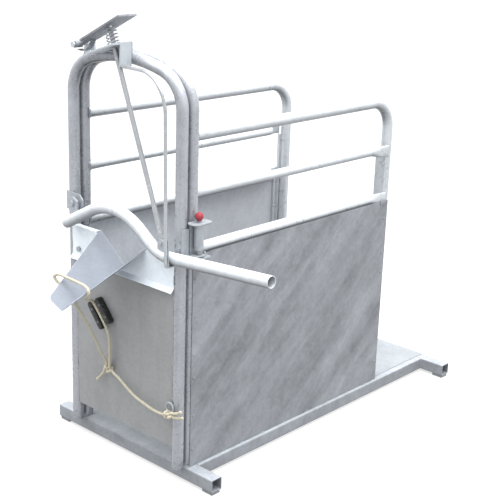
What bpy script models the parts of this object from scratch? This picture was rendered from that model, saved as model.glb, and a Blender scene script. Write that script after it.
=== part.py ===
"""Calf dehorning crate: a galvanised tube crate with a swinging head gate, a V head scoop,
a neck bar with its push rod and lock, a spring latch and a rope noose. Metres, +Z up."""
import math

import bmesh
import bpy
from mathutils import Matrix, Vector

# Clearances
rest_gap = 0.0003
running_gap = 0.0005

# Box section base frame
pad_height = 0.012
pad_length = 0.050
pad_half_width = 0.020
beam_side = 0.050
beam_wall = 0.003
beam_corner = 0.004
beam_top = pad_height + beam_side
beam_half_length = 0.430
front_beam_front = -0.009
rear_beam_front = 1.468
side_beam_inner = 0.265
pad_centre_x = 0.402

# Round tube stock
tube_radius = 0.021
thin_tube_radius = 0.01685
tube_steps = 6

# Hoops: two upright legs, rounded shoulders and a shallow crown
hoop_half_width = 0.280
shoulder_radius = 0.130
crown_radius = 0.675
crown_top = 1.507
rear_hoop_y = 0.015
gate_hoop_y = -0.033
gate_leg_bottom = 0.0665

# Side frames and rails
frame_x = 0.270
top_rail_z = 1.272
mid_rail_z = 1.074
low_rail_z = 0.873
frame_bend = 0.110
rear_post_y = 1.137
rail_front_y = rear_hoop_y + tube_radius + rest_gap
rail_end_y = 1.119
rail_end_half_thickness = 0.0042
rail_flat_length = 0.042
rail_press_length = 0.095

# Sheets
sheet_thickness = 0.002
side_sheet_inner = 0.3015
side_sheet_front = 0.005
side_sheet_rear = 1.129
side_sheet_top = 0.8615
front_rivet_y = 0.018
rear_rivet_y = 1.110
front_rivet_levels = (0.130, 0.263, 0.408, 0.497, 0.640, 0.780)
rear_rivet_levels = (0.150, 0.330, 0.498, 0.558, 0.643, 0.790)
rivet_radius = 0.0062
rivet_height = 0.0030
right_post_bar_inner = 0.243
left_post_bar_inner = 0.279
post_bar_front = 1.1072
post_bar_top = 1.050
packing_top = 0.845
gate_sheet_y = -0.044
gate_sheet_bottom = 0.145
gate_sheet_top = 0.745
inner_half_width = 0.2585
gate_sheet_half_width = 0.2612
yoke_half_width = 0.2705

# Yoke plate and head scoop
yoke_y = -0.0535
yoke_thickness = 0.003
yoke_top = 0.862
yoke_bottom = 0.7515
notch_half_width = 0.133
flange_depth = 0.018
scoop_thickness = 0.003
scoop_front_low = Vector((0.0, -0.323, 0.665))
scoop_front_high = Vector((-0.052, -0.336, 0.701))
scoop_back_low = Vector((0.0, -0.055, 0.759))
scoop_back_high = Vector((-0.133, -0.055, 0.864))
scoop_tip_radius = 0.022

# Neck bar, its pivot and the push rod
bar_y = -0.088
bar_left = Vector((-0.262, bar_y, 0.877))
bar_crest = Vector((0.0132, bar_y, 1.0228))
bar_dip = Vector((0.2363, bar_y, 0.8700))
bar_right = Vector((0.738, bar_y, 0.9047))
bar_crest_radius = 0.245
bar_dip_radius = 0.150
bar_bore_radius = 0.0180
bar_bore_depth = 0.070
pivot = Vector((-0.240, bar_y, 0.953))
pivot_bolt_radius = 0.006
pivot_plate_back = gate_hoop_y - tube_radius - rest_gap
pivot_plate_front = pivot_plate_back - 0.005
pivot_lug_back = pivot_plate_front - 0.0106
pivot_lug_front = pivot_lug_back - 0.008
rod_pivot = Vector((0.252, bar_y, 0.920))
rod_tilt = math.radians(21.3)
rod_radius = 0.0085
rod_top_z = 1.622
rod_pin_radius = 0.005
ear_thickness = 0.004

# Keeper rod and hook on the right leg
keeper_radius = 0.006
keeper_y = -0.1213
keeper_top_y = -0.098
keeper_x = 0.2965
keeper_bend = 0.130
keeper_top_z = 1.4855
keeper_bottom_z = 0.862
hook_low = 0.8460
hook_high = 0.945
hook_x = 0.296
hook_width = 0.018
hook_thickness = 0.0047

# Lock at the crown
lock_strip_front = -0.132
lock_strip_back = -0.0548
lock_end_front = -0.104
lock_end_bottom = 1.482
lock_strip_left = Vector((-0.088, 0.0, 1.516))
lock_strip_right = Vector((0.056, 0.0, 1.5637))
lock_strip_slot_z = 1.5475
lock_plate_slot_z = 1.6075
lock_strip_thickness = 0.005
lock_plate_tilt = math.radians(26.4)
lock_plate_left = Vector((-0.128, 0.0, 1.552))
lock_plate_length = 0.225
lock_plate_half_width = 0.040
lock_plate_thickness = 0.006
lock_pin = Vector((-0.183, 0.0, 1.532))
lock_pin_radius = 0.006
slot_half_length = 0.0205
slot_half_width = 0.0095
spring_radius = 0.0200
spring_wire = 0.0020
spring_turns = 5

# Gate hinge and latch
hinge_x = -0.311
hinge_y = 0.5 * (rear_hoop_y + gate_hoop_y)
hinge_levels = (0.260, 1.120)
hinge_pin_radius = 0.006
hinge_lug_radius = 0.011
hinge_arm_half_width = 0.005
hinge_lug_thickness = 0.008
latch_x = 0.325
latch_y = 0.008
latch_pin_radius = 0.007
latch_bolt_y = 0.0365
latch_top = 0.985
latch_bottom = 0.862
tongue_low = 0.8707
tongue_high = 0.8747
knob_radius = 0.015
knob_z = 1.0085

# Rope, cleat and ring
rope_radius = 0.0055
rope_steps = 2
sheet_front = gate_sheet_y - 0.5 * sheet_thickness
cleat_depth = 0.024
cleat_base = 0.004
cleat_half_width = 0.0125
left_jaw = ((-0.169, 0.587), (-0.096, 0.500))
right_jaw = ((-0.127, 0.613), (-0.055, 0.533))
ring_centre = Vector((0.262, -0.0590, 0.307))
ring_radius = 0.0175
ring_wire = 0.0035
slip_knot_centre = Vector((-0.064, -0.063, 0.352))
slip_knot_size = Vector((0.0165, 0.0120, 0.0130))
ring_knot_centre = Vector((0.276, -0.0750, 0.288))
ring_knot_size = Vector((0.0180, 0.0135, 0.0155))

zinc_bright = (0.72, 0.75, 0.79)
zinc_mid = (0.56, 0.58, 0.61)
zinc_dull = (0.42, 0.44, 0.46)


def clear_scene():
    """Remove every object so that the part starts from an empty scene."""
    for item in list(bpy.data.objects):
        bpy.data.objects.remove(item, do_unlink=True)


def collection_named(name):
    """Return the scene collection of this name, made when it is missing."""
    found = bpy.data.collections.get(name)
    if found is None:
        found = bpy.data.collections.new(name)
        bpy.context.scene.collection.children.link(found)
    return found


def surface(name, colour, roughness, metallic):
    """Plain Principled surface with one colour."""
    material = bpy.data.materials.new(name)
    material.use_nodes = True
    shader = material.node_tree.nodes["Principled BSDF"]
    shader.inputs["Base Color"].default_value = (*colour, 1.0)
    shader.inputs["Roughness"].default_value = roughness
    shader.inputs["Metallic"].default_value = metallic
    material.diffuse_color = (*colour, 1.0)
    return material


def zinc(name, colour=zinc_mid, roughness=0.42):
    """Hot-dip galvanised steel."""
    return surface(name, colour, roughness, 0.85)


def object_from(name, shape):
    """Turn a bmesh into a mesh object at the world origin."""
    mesh = bpy.data.meshes.new(name)
    bmesh.ops.recalc_face_normals(shape, faces=shape.faces)
    shape.to_mesh(mesh)
    shape.free()
    item = bpy.data.objects.new(name, mesh)
    bpy.context.scene.collection.objects.link(item)
    return item


def evaluated_shape(item):
    """Bmesh of an object with its modifiers and its transform applied."""
    bpy.context.view_layer.update()
    depsgraph = bpy.context.evaluated_depsgraph_get()
    mesh = bpy.data.meshes.new_from_object(item.evaluated_get(depsgraph))
    mesh.transform(item.matrix_world)
    shape = bmesh.new()
    shape.from_mesh(mesh)
    bpy.data.meshes.remove(mesh)
    return shape


def solid_from_curve(name, curve, matrix=None):
    """Mesh solid of a filled curve, welded and facing outward."""
    holder = bpy.data.objects.new(name + "_path", curve)
    bpy.context.scene.collection.objects.link(holder)
    if matrix is not None:
        holder.matrix_world = matrix
    shape = evaluated_shape(holder)
    bmesh.ops.remove_doubles(shape, verts=shape.verts, dist=0.00001)
    bpy.data.objects.remove(holder, do_unlink=True)
    bpy.data.curves.remove(curve)
    return object_from(name, shape)


def tube(name, points, radius, steps=tube_steps):
    """Round bar or tube along a list of points, with flat closed ends."""
    curve = bpy.data.curves.new(name, "CURVE")
    curve.dimensions = "3D"
    curve.bevel_depth = radius
    curve.bevel_resolution = steps
    curve.use_fill_caps = True
    spline = curve.splines.new("POLY")
    spline.points.add(len(points) - 1)
    for point, place in zip(spline.points, points):
        point.co = (*place, 1.0)
    return solid_from_curve(name, curve)


def plate(name, outline, thickness, origin, across, upward, holes=()):
    """Flat plate: an outline in the across/upward plane, thickness along their cross product."""
    curve = bpy.data.curves.new(name, "CURVE")
    curve.dimensions = "2D"
    curve.fill_mode = "BOTH"
    curve.extrude = 0.5 * thickness
    for ring in (outline, *holes):
        spline = curve.splines.new("POLY")
        spline.points.add(len(ring) - 1)
        for point, place in zip(spline.points, ring):
            point.co = (place[0], place[1], 0.0, 1.0)
        spline.use_cyclic_u = True
    across = Vector(across).normalized()
    upward = Vector(upward).normalized()
    normal = across.cross(upward)
    matrix = Matrix((across, upward, normal)).transposed().to_4x4()
    matrix.translation = Vector(origin)
    return solid_from_curve(name, curve, matrix)


def circle(centre, radius, count):
    """Points of a circle in a plate's own plane."""
    turn = 2.0 * math.pi / count
    return [(centre[0] + radius * math.cos(turn * k), centre[1] + radius * math.sin(turn * k))
            for k in range(count)]


def slot_outline(centre, half_length, half_width, count=8):
    """Points of a slot with round ends, long in the first direction."""
    reach = half_length - half_width
    points = []
    for side in (1, -1):
        for k in range(count + 1):
            angle = -0.5 * math.pi + math.pi * k / count
            points.append((centre[0] + side * (reach + half_width * math.cos(angle)),
                           centre[1] + side * half_width * math.sin(angle)))
    return points


def block(name, low, high, edge=0.0):
    """Box between two corner points, with small rounded edges when asked for."""
    low = Vector(low)
    high = Vector(high)
    shape = bmesh.new()
    matrix = Matrix.Translation(0.5 * (low + high)) @ Matrix.Diagonal((*(high - low), 1.0))
    bmesh.ops.create_cube(shape, size=1.0, matrix=matrix)
    item = object_from(name, shape)
    if edge > 0.0:
        bevel = item.modifiers.new("edges", "BEVEL")
        bevel.width = edge
        bevel.segments = 2
    return item


def bar(name, start, end, radius, sides=16, edge=0.0):
    """Straight round bar between two points."""
    start = Vector(start)
    end = Vector(end)
    along = end - start
    turn = along.to_track_quat("Z", "Y").to_matrix().to_4x4()
    matrix = Matrix.Translation(0.5 * (start + end)) @ turn
    shape = bmesh.new()
    bmesh.ops.create_cone(shape, cap_ends=True, segments=sides, radius1=radius, radius2=radius,
                          depth=along.length, matrix=matrix)
    item = object_from(name, shape)
    if edge > 0.0:
        bevel = item.modifiers.new("rims", "BEVEL")
        bevel.width = edge
        bevel.segments = 2
        bevel.limit_method = "ANGLE"
        bevel.angle_limit = math.radians(50.0)
    return item


def ball(name, centre, sizes, sides=20, rings=12):
    """Ellipsoid with the given half sizes."""
    shape = bmesh.new()
    matrix = Matrix.Translation(Vector(centre)) @ Matrix.Diagonal((*sizes, 1.0))
    bmesh.ops.create_uvsphere(shape, u_segments=sides, v_segments=rings, radius=1.0, matrix=matrix)
    return object_from(name, shape)


def torus(name, centre, axis, major, minor, around=24, across=10):
    """Closed ring of round wire about an axis."""
    turn = Vector(axis).to_track_quat("Z", "Y").to_matrix().to_4x4()
    bpy.ops.mesh.primitive_torus_add(major_segments=around, minor_segments=across,
                                     major_radius=major, minor_radius=minor)
    item = bpy.context.object
    item.data.transform(Matrix.Translation(Vector(centre)) @ turn)
    item.name = name
    return item


def union(name, items):
    """Weld several overlapping solids into one closed body."""
    base = items[0]
    for item in items[1:]:
        modifier = base.modifiers.new("weld", "BOOLEAN")
        modifier.operation = "UNION"
        modifier.solver = "EXACT"
        modifier.object = item
        shape = evaluated_shape(base)
        bmesh.ops.remove_doubles(shape, verts=shape.verts, dist=0.00001)
        bpy.data.objects.remove(item, do_unlink=True)
        bpy.data.objects.remove(base, do_unlink=True)
        base = object_from(name, shape)
    base.name = name
    return base


def carve(item, cutter):
    """Cut a shape out of an object and keep the cutter as a wire helper."""
    modifier = item.modifiers.new("cut_" + cutter.name, "BOOLEAN")
    modifier.operation = "DIFFERENCE"
    modifier.solver = "EXACT"
    modifier.object = cutter
    cutter.display_type = "WIRE"
    cutter.hide_render = True
    for group in list(cutter.users_collection):
        group.objects.unlink(cutter)
    collection_named("cutters").objects.link(cutter)
    cutter["serves"] = item.name


def finish(item, name, material, smooth=True):
    """Name the object, give it its surface and put it in its own collection."""
    item.name = name
    item.data.name = name
    item.data.materials.clear()
    item.data.materials.append(material)
    if smooth:
        item.data.shade_smooth()
        item.data.set_sharp_from_angle(angle=math.radians(38.0))
    for group in list(item.users_collection):
        group.objects.unlink(item)
    collection_named(name).objects.link(item)
    return item


def arc(centre, radius, start, end, count, y):
    """Points of an arc in an upright plane across the crate."""
    points = []
    for k in range(count + 1):
        angle = start + (end - start) * k / count
        points.append(Vector((centre[0] + radius * math.cos(angle), y,
                              centre[1] + radius * math.sin(angle))))
    return points


def rounded_path(corners, radii, step=math.radians(9.0)):
    """Straight runs between the corners, joined by arcs of the given radii at the inner corners."""
    points = [Vector(corners[0])]
    for before, corner, after, radius in zip(corners, corners[1:], corners[2:], radii):
        arriving = (Vector(corner) - Vector(before)).normalized()
        leaving = (Vector(after) - Vector(corner)).normalized()
        bend = arriving.angle(leaving)
        reach = radius * math.tan(0.5 * bend)
        start = Vector(corner) - arriving * reach
        inward = (leaving - arriving * arriving.dot(leaving)).normalized()
        centre = start + inward * radius
        count = max(2, math.ceil(bend / step))
        for k in range(count + 1):
            angle = bend * k / count
            points.append(centre - inward * radius * math.cos(angle) + arriving * radius * math.sin(angle))
    points.append(Vector(corners[-1]))
    return points


def hoop_path(y, leg_bottom):
    """Centre line of a hoop: leg, shoulder, crown, shoulder, leg."""
    crown_z = crown_top - crown_radius
    shoulder_x = hoop_half_width - shoulder_radius
    lean = math.asin(shoulder_x / (crown_radius - shoulder_radius))
    shoulder_z = crown_z + (crown_radius - shoulder_radius) * math.cos(lean)
    left = arc((-shoulder_x, shoulder_z), shoulder_radius, math.pi, 0.5 * math.pi + lean, 8, y)
    crown = arc((0.0, crown_z), crown_radius, 0.5 * math.pi + lean, 0.5 * math.pi - lean, 8, y)
    right = arc((shoulder_x, shoulder_z), shoulder_radius, 0.5 * math.pi - lean, 0.0, 8, y)
    foot_left = Vector((-hoop_half_width, y, leg_bottom))
    foot_right = Vector((hoop_half_width, y, leg_bottom))
    return [foot_left] + left + crown[1:-1] + right + [foot_right]


def box_beam(name, start, end, across):
    """Square box section with rounded corners between two points, open at both ends."""
    start = Vector(start)
    end = Vector(end)
    rings = []
    for half, corner in ((0.5 * beam_side, beam_corner), (0.5 * beam_side - beam_wall, 0.0015)):
        ring = []
        for quarter in range(4):
            middle = math.radians(45.0 + 90.0 * quarter)
            place_x = math.copysign(half - corner, math.cos(middle))
            place_y = math.copysign(half - corner, math.sin(middle))
            for k in range(3):
                angle = math.radians(90.0 * quarter + 45.0 * k)
                ring.append((place_x + corner * math.cos(angle), place_y + corner * math.sin(angle)))
        rings.append(ring)
    middle = 0.5 * (start + end)
    upward = Vector(across).cross(Vector((0.0, 0.0, 1.0)))
    return plate(name, rings[0], (end - start).length, middle, (0.0, 0.0, 1.0), upward, [rings[1]])


def make_cross_beam(name, front):
    """Beam across the crate with a flat foot pad welded under each end."""
    z = pad_height + 0.5 * beam_side
    y = front + 0.5 * beam_side
    parts = [box_beam(name, (-beam_half_length, y, z), (beam_half_length, y, z), (1, 0, 0))]
    for x in (-pad_centre_x, pad_centre_x):
        low = (x - 0.5 * pad_length, y - pad_half_width, 0.0)
        high = (x + 0.5 * pad_length, y + pad_half_width, pad_height + 0.001)
        parts.append(block("pad", low, high, 0.001))
    return finish(union(name, parts), name, zinc(name, zinc_dull, 0.48))


def make_side_beam(name, side):
    """Beam along one side, between the cross beams."""
    z = pad_height + 0.5 * beam_side
    x = side * (side_beam_inner + 0.5 * beam_side)
    item = box_beam(name, (x, front_beam_front + beam_side + rest_gap, z),
                    (x, rear_beam_front - rest_gap, z), (0, 1, 0))
    return finish(item, name, zinc(name, zinc_dull, 0.48))


def make_floor_sheet():
    """Floor sheet on the beams, notched round the hoop legs and the rear posts."""
    edge = 0.288
    notch = 0.2475
    back = rear_beam_front + beam_side - 0.003
    post_front = rear_post_y - tube_radius - 0.001
    post_back = rear_post_y + tube_radius + 0.001
    leg_notch = hoop_half_width - tube_radius - 0.001
    leg_back = rear_hoop_y + tube_radius + 0.001
    front = front_beam_front + 0.002
    right = [(leg_notch, front), (leg_notch, leg_back), (edge, leg_back), (edge, post_front),
             (notch, post_front), (notch, post_back), (edge, post_back), (edge, back)]
    left = [(-x, y) for x, y in reversed(right)]
    z = beam_top + rest_gap + 0.5 * sheet_thickness
    item = plate("floor_sheet", right + left, sheet_thickness, (0, 0, z), (1, 0, 0), (0, 1, 0))
    return finish(item, "floor_sheet", zinc("floor_sheet", zinc_bright, 0.38), False)


def make_rear_hoop():
    """Fixed hoop that stands on the front beam."""
    item = tube("rear_hoop", hoop_path(rear_hoop_y, beam_top + rest_gap), tube_radius)
    return finish(item, "rear_hoop", zinc("rear_hoop"))


def make_side_frame(name, side):
    """Top rail bent down into the rear post, in one tube."""
    x = side * frame_x
    corners = [(x, rail_front_y, top_rail_z), (x, rear_post_y, top_rail_z),
               (x, rear_post_y, beam_top + rest_gap)]
    item = tube(name, rounded_path(corners, [frame_bend]), tube_radius)
    return finish(item, name, zinc(name))


def rail_with_flat_end(name, side, z, radius):
    """Rail from the hoop to the rear post, its rear end pressed flat beside the post's flat bar."""
    flat_x = frame_x + tube_radius + rest_gap + rail_end_half_thickness
    flat_start = rail_end_y - rail_flat_length
    round_end = rail_end_y - rail_press_length
    stations = [rail_front_y, rail_front_y + 0.020, rail_front_y + 0.045, rail_front_y + 0.300,
                round_end, round_end + 0.018, round_end + 0.036, flat_start, rail_end_y]
    item = tube(name, [(0.0, y, 0.0) for y in stations], radius)
    for vertex in item.data.vertices:
        place = vertex.co
        press = (place.y - round_end) / (flat_start - round_end)
        press = min(1.0, max(0.0, press))
        press = press * press * (3.0 - 2.0 * press)
        pinch = min(1.0, max(0.0, (rail_front_y + 0.045 - place.y) / 0.045))
        thin = (1.0 - press) * (1.0 - 0.22 * pinch) + press * rail_end_half_thickness / radius
        tall = 1.0 + 0.30 * press + 0.10 * pinch
        centre_x = frame_x + (flat_x - frame_x) * press
        place.x = side * (centre_x + place.x * thin)
        place.z = z + place.z * tall
    shape = bmesh.new()
    shape.from_mesh(item.data)
    bpy.data.objects.remove(item, do_unlink=True)
    return object_from(name, shape)


def make_mid_rail(name, side):
    """Thin rail between the top and lower rails."""
    item = rail_with_flat_end(name, side, mid_rail_z, thin_tube_radius)
    return finish(item, name, zinc(name))


def make_low_rail(name, side):
    """Rail just above the side sheet."""
    item = rail_with_flat_end(name, side, low_rail_z, tube_radius)
    return finish(item, name, zinc(name))


def rivet_head(side, y, z):
    """Domed rivet head on the outer face of a side sheet."""
    face = side_sheet_inner + sheet_thickness
    turn = Matrix.Rotation(side * 0.5 * math.pi, 4, "Y")
    place = Matrix.Translation((side * (face + 0.5 * rivet_height - 0.0005), y, z)) @ turn
    shape = bmesh.new()
    bmesh.ops.create_cone(shape, cap_ends=True, segments=12, radius1=rivet_radius,
                          radius2=0.6 * rivet_radius, depth=rivet_height + 0.001, matrix=place)
    return object_from("head", shape)


def make_side_sheet(name, side):
    """Flat sheet over the lower side, with its rivet heads and the tab at its rear top corner."""
    x = side * (side_sheet_inner + 0.5 * sheet_thickness)
    outline = [(side_sheet_front, beam_top + rest_gap), (side_sheet_rear, beam_top + rest_gap),
               (side_sheet_rear, side_sheet_top), (side_sheet_front, side_sheet_top)]
    parts = [plate(name, outline, sheet_thickness, (x, 0, 0), (0, 1, 0), (0, 0, 1))]
    for y, levels in ((front_rivet_y, front_rivet_levels), (rear_rivet_y, rear_rivet_levels)):
        parts += [rivet_head(side, y, z) for z in levels]
    face = side_sheet_inner + sheet_thickness
    ends = sorted((side * (face - 0.0008), side * (face + 0.003)))
    parts.append(block("tab", (ends[0], side_sheet_rear - 0.053, side_sheet_top - 0.012),
                       (ends[1], side_sheet_rear - 0.015, side_sheet_top + 0.008), 0.0008))
    return finish(union(name, parts), name, zinc(name, zinc_mid, 0.45), False)


def make_sheet_bar(name, side):
    """Flat bar in front of the rear post, with the packing bar between the post and the side sheet."""
    low = beam_top + sheet_thickness + 2.0 * rest_gap
    post_side = frame_x + tube_radius + rest_gap
    sheet_side = side_sheet_inner - rest_gap
    post_bar_back = rear_post_y - tube_radius - rest_gap
    bar_side = right_post_bar_inner if side > 0 else left_post_bar_inner
    parts = []
    for inner, outer, front, back, high in (
            (bar_side, sheet_side, post_bar_front, post_bar_back, packing_top),
            (bar_side, post_side - 2.0 * rest_gap, post_bar_front, post_bar_back, post_bar_top),
            (post_side, sheet_side, side_sheet_rear - 0.035, side_sheet_rear - 0.003, packing_top)):
        ends = sorted((side * inner, side * outer))
        parts.append(block("flat", (ends[0], front, low), (ends[1], back, high)))
    return finish(union(name, parts), name, zinc(name, zinc_dull, 0.5), False)


def make_gate_hoop():
    """Front hoop, the frame of the swinging head gate."""
    item = tube("gate_hoop", hoop_path(gate_hoop_y, gate_leg_bottom), tube_radius)
    return finish(item, "gate_hoop", zinc("gate_hoop"))


def make_gate_sheet():
    """Lower sheet of the gate between its legs."""
    half = gate_sheet_half_width
    outline = [(-half, gate_sheet_bottom), (half, gate_sheet_bottom), (half, gate_sheet_top),
               (-half, gate_sheet_top)]
    item = plate("gate_sheet", outline, sheet_thickness, (0, gate_sheet_y, 0), (1, 0, 0), (0, 0, 1))
    return finish(item, "gate_sheet", zinc("gate_sheet", zinc_mid, 0.48), False)


def make_yoke_plate():
    """Plate with a V notch, flanges folded back along its top edges and a lip folded forward below."""
    shape = bmesh.new()
    notch_low = scoop_back_low.z - 0.0046
    wide = yoke_half_width
    corners = [(-wide, yoke_bottom), (0.0, yoke_bottom), (wide, yoke_bottom), (wide, yoke_top),
               (inner_half_width, yoke_top), (notch_half_width + 0.006, yoke_top), (0.0, notch_low),
               (-notch_half_width - 0.006, yoke_top), (-inner_half_width, yoke_top), (-wide, yoke_top)]
    front = [shape.verts.new((x, yoke_y, z)) for x, z in corners]
    shape.faces.new((front[0], front[1], front[6], front[7], front[8], front[9]))
    shape.faces.new((front[1], front[2], front[3], front[4], front[5], front[6]))
    lip = [shape.verts.new((x, yoke_y - 0.0145, yoke_bottom - 0.0155)) for x in (-wide, 0.0, wide)]
    shape.faces.new((lip[0], lip[1], front[1], front[0]))
    shape.faces.new((lip[1], lip[2], front[2], front[1]))
    for first, second in ((4, 5), (7, 8)):
        back = [shape.verts.new((corners[k][0], yoke_y + flange_depth, yoke_top)) for k in (first, second)]
        shape.faces.new((front[first], back[0], back[1], front[second]))
    bmesh.ops.recalc_face_normals(shape, faces=shape.faces)
    item = object_from("yoke_plate", shape)
    thick = item.modifiers.new("thickness", "SOLIDIFY")
    thick.thickness = yoke_thickness
    thick.offset = 0.0
    thick.use_even_offset = True
    return finish(item, "yoke_plate", zinc("yoke_plate", zinc_bright, 0.38), False)


def scoop_wing(side):
    """Outline of one wing from the fold outward, with a rounded front tip."""
    low_back = scoop_back_low.copy()
    high_back = scoop_back_high.copy()
    low_front = scoop_front_low.copy()
    tip = scoop_front_high.copy()
    along_top = (high_back - tip).normalized()
    along_front = (low_front - tip).normalized()
    bend = along_top.angle(along_front)
    reach = scoop_tip_radius / math.tan(0.5 * bend)
    middle = (along_top + along_front).normalized()
    centre = tip + middle * scoop_tip_radius / math.sin(0.5 * bend)
    start = (tip + along_top * reach - centre).normalized()
    end = (tip + along_front * reach - centre).normalized()
    points = [high_back]
    for k in range(6):
        points.append(centre + start.slerp(end, k / 5.0) * scoop_tip_radius)
    deep = Vector((0.0, flange_depth, 0.0))
    rise = (scoop_back_low - scoop_front_low) * (flange_depth / (scoop_back_low.y - scoop_front_low.y))
    back_low = low_back + rise
    back_high = high_back + deep
    back_high.z = high_back.z + rise.z
    outline = [back_low, back_high] + points[1:] + [low_front]
    return [Vector((side * point.x * -1.0, point.y, point.z)) for point in outline]


def make_head_scoop():
    """Folded V trough that lies in the notch of the yoke plate and reaches forward."""
    shape = bmesh.new()
    left = scoop_wing(-1)
    right = scoop_wing(1)
    low_back = shape.verts.new(left[0])
    low_front = shape.verts.new(left[-1])
    for wing in (left, right):
        ring = [low_back] + [shape.verts.new(point) for point in wing[1:-1]] + [low_front]
        shape.faces.new(ring)
    bmesh.ops.recalc_face_normals(shape, faces=shape.faces)
    if sum(face.normal.z for face in shape.faces) < 0.0:
        bmesh.ops.reverse_faces(shape, faces=shape.faces)
    mesh = bpy.data.meshes.new("head_scoop")
    shape.to_mesh(mesh)
    shape.free()
    item = bpy.data.objects.new("head_scoop", mesh)
    bpy.context.scene.collection.objects.link(item)
    thick = item.modifiers.new("thickness", "SOLIDIFY")
    thick.thickness = scoop_thickness
    thick.offset = -1.0
    thick.use_even_offset = True
    return finish(item, "head_scoop", zinc("head_scoop", zinc_bright, 0.36), False)


def make_yoke_bolt():
    """Hexagon bolt head at the left edge of the yoke plate."""
    face = yoke_y - 0.5 * yoke_thickness - rest_gap
    head = bar("yoke_bolt", (-0.232, face, 0.776), (-0.232, face - 0.0075, 0.776), 0.0105, 6, 0.0006)
    return finish(head, "yoke_bolt", zinc("yoke_bolt", zinc_bright, 0.35), False)


def jaw_outline(start, end, half_width, count=6):
    """Outline of a long jaw with round ends between two points of the gate plane."""
    start = Vector(start)
    end = Vector(end)
    along = (end - start).normalized()
    aside = Vector((-along.y, along.x))
    inner_start = start + along * half_width
    inner_end = end - along * half_width
    points = []
    for centre, sign in ((inner_end, 1.0), (inner_start, -1.0)):
        for k in range(count + 1):
            angle = -0.5 * math.pi + math.pi * k / count
            offset = along * (math.cos(angle) * sign) + aside * (math.sin(angle) * sign)
            place = centre + offset * half_width
            points.append((place.x, place.y))
    return points


def make_rope_cleat():
    """Two long black jaws on a thin base, with the rope groove between them."""
    jaws = []
    middle = sheet_front - rest_gap - 0.5 * cleat_depth
    for start, end in (left_jaw, right_jaw):
        outline = jaw_outline(start, end, cleat_half_width)
        jaw = plate("jaw", outline, cleat_depth, (0, middle, 0), (1, 0, 0), (0, 0, 1))
        edges = jaw.modifiers.new("edges", "BEVEL")
        edges.width = 0.003
        edges.segments = 2
        edges.limit_method = "ANGLE"
        edges.angle_limit = math.radians(50.0)
        jaws.append(jaw)
    start = 0.5 * (Vector(left_jaw[0]) + Vector(right_jaw[0]))
    end = 0.5 * (Vector(left_jaw[1]) + Vector(right_jaw[1]))
    shorten = (end - start) * 0.16
    outline = jaw_outline(start + shorten, end - shorten, 0.021)
    base = sheet_front - rest_gap - 0.5 * cleat_base
    jaws.append(plate("base", outline, cleat_base, (0, base, 0), (1, 0, 0), (0, 0, 1)))
    return finish(union("rope_cleat", jaws), "rope_cleat",
                  surface("rope_cleat", (0.035, 0.037, 0.035), 0.5, 0.0))


def make_tie_ring():
    """Welded ring on the front of the right gate leg."""
    item = torus("tie_ring", ring_centre, (0, 1, 0), ring_radius, ring_wire)
    return finish(item, "tie_ring", zinc("tie_ring", zinc_bright, 0.35))


def make_pivot_plate():
    """Plate on the front of the left gate leg that carries the neck bar's pivot bolt."""
    thickness = pivot_plate_back - pivot_plate_front
    outline = [(-0.296, 0.918), (-0.222, 0.926), (-0.204, 0.944), (-0.204, 0.966), (-0.222, 0.984),
               (-0.296, 0.988)]
    item = plate("pivot_plate", outline, thickness, (0, pivot_plate_back - 0.5 * thickness, 0), (1, 0, 0),
                 (0, 0, 1), [circle((pivot.x, pivot.z), pivot_bolt_radius + rest_gap, 16)])
    return finish(item, "pivot_plate", zinc("pivot_plate", zinc_bright, 0.38), False)


def make_pivot_bolt():
    """Bolt of the neck bar's pivot with its nut run on behind the plate."""
    x, z = pivot.x, pivot.z
    head_back = pivot_lug_front - rest_gap
    nut_front = pivot_plate_back + rest_gap
    shank = bar("shank", (x, nut_front + 0.011, z), (x, head_back - 0.004, z), pivot_bolt_radius)
    head = bar("head", (x, head_back, z), (x, head_back - 0.008, z), 0.0115, 6, 0.0006)
    nut = bar("nut", (x, nut_front, z), (x, nut_front + 0.008, z), 0.0115, 6)
    item = union("pivot_bolt", [head, shank, nut])
    return finish(item, "pivot_bolt", zinc("pivot_bolt", zinc_bright, 0.33), False)


def make_pivot_washer():
    """Washer between the neck bar's lug and the pivot plate."""
    y = 0.5 * (pivot_plate_front + pivot_lug_back)
    thickness = pivot_plate_front - pivot_lug_back - 2.0 * rest_gap
    item = plate("pivot_washer", circle((pivot.x, pivot.z), 0.0125, 20), thickness, (0, y, 0), (1, 0, 0),
                 (0, 0, 1), [circle((pivot.x, pivot.z), pivot_bolt_radius + rest_gap, 16)])
    return finish(item, "pivot_washer", zinc("pivot_washer", zinc_bright, 0.35))


def bar_path():
    """Centre line of the neck bar."""
    return rounded_path([bar_left, bar_crest, bar_dip, bar_right], [bar_crest_radius, bar_dip_radius],
                        math.radians(5.0))


def make_neck_bar():
    """Bent tube with its handle end open."""
    item = tube("neck_bar", bar_path(), tube_radius)
    along = (bar_right - bar_dip).normalized()
    bore = bar("neck_bar_bore", bar_right - along * bar_bore_depth, bar_right + along * 0.010,
               bar_bore_radius, 20)
    carve(item, bore)
    return finish(item, "neck_bar", zinc("neck_bar", zinc_bright, 0.38))


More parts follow.
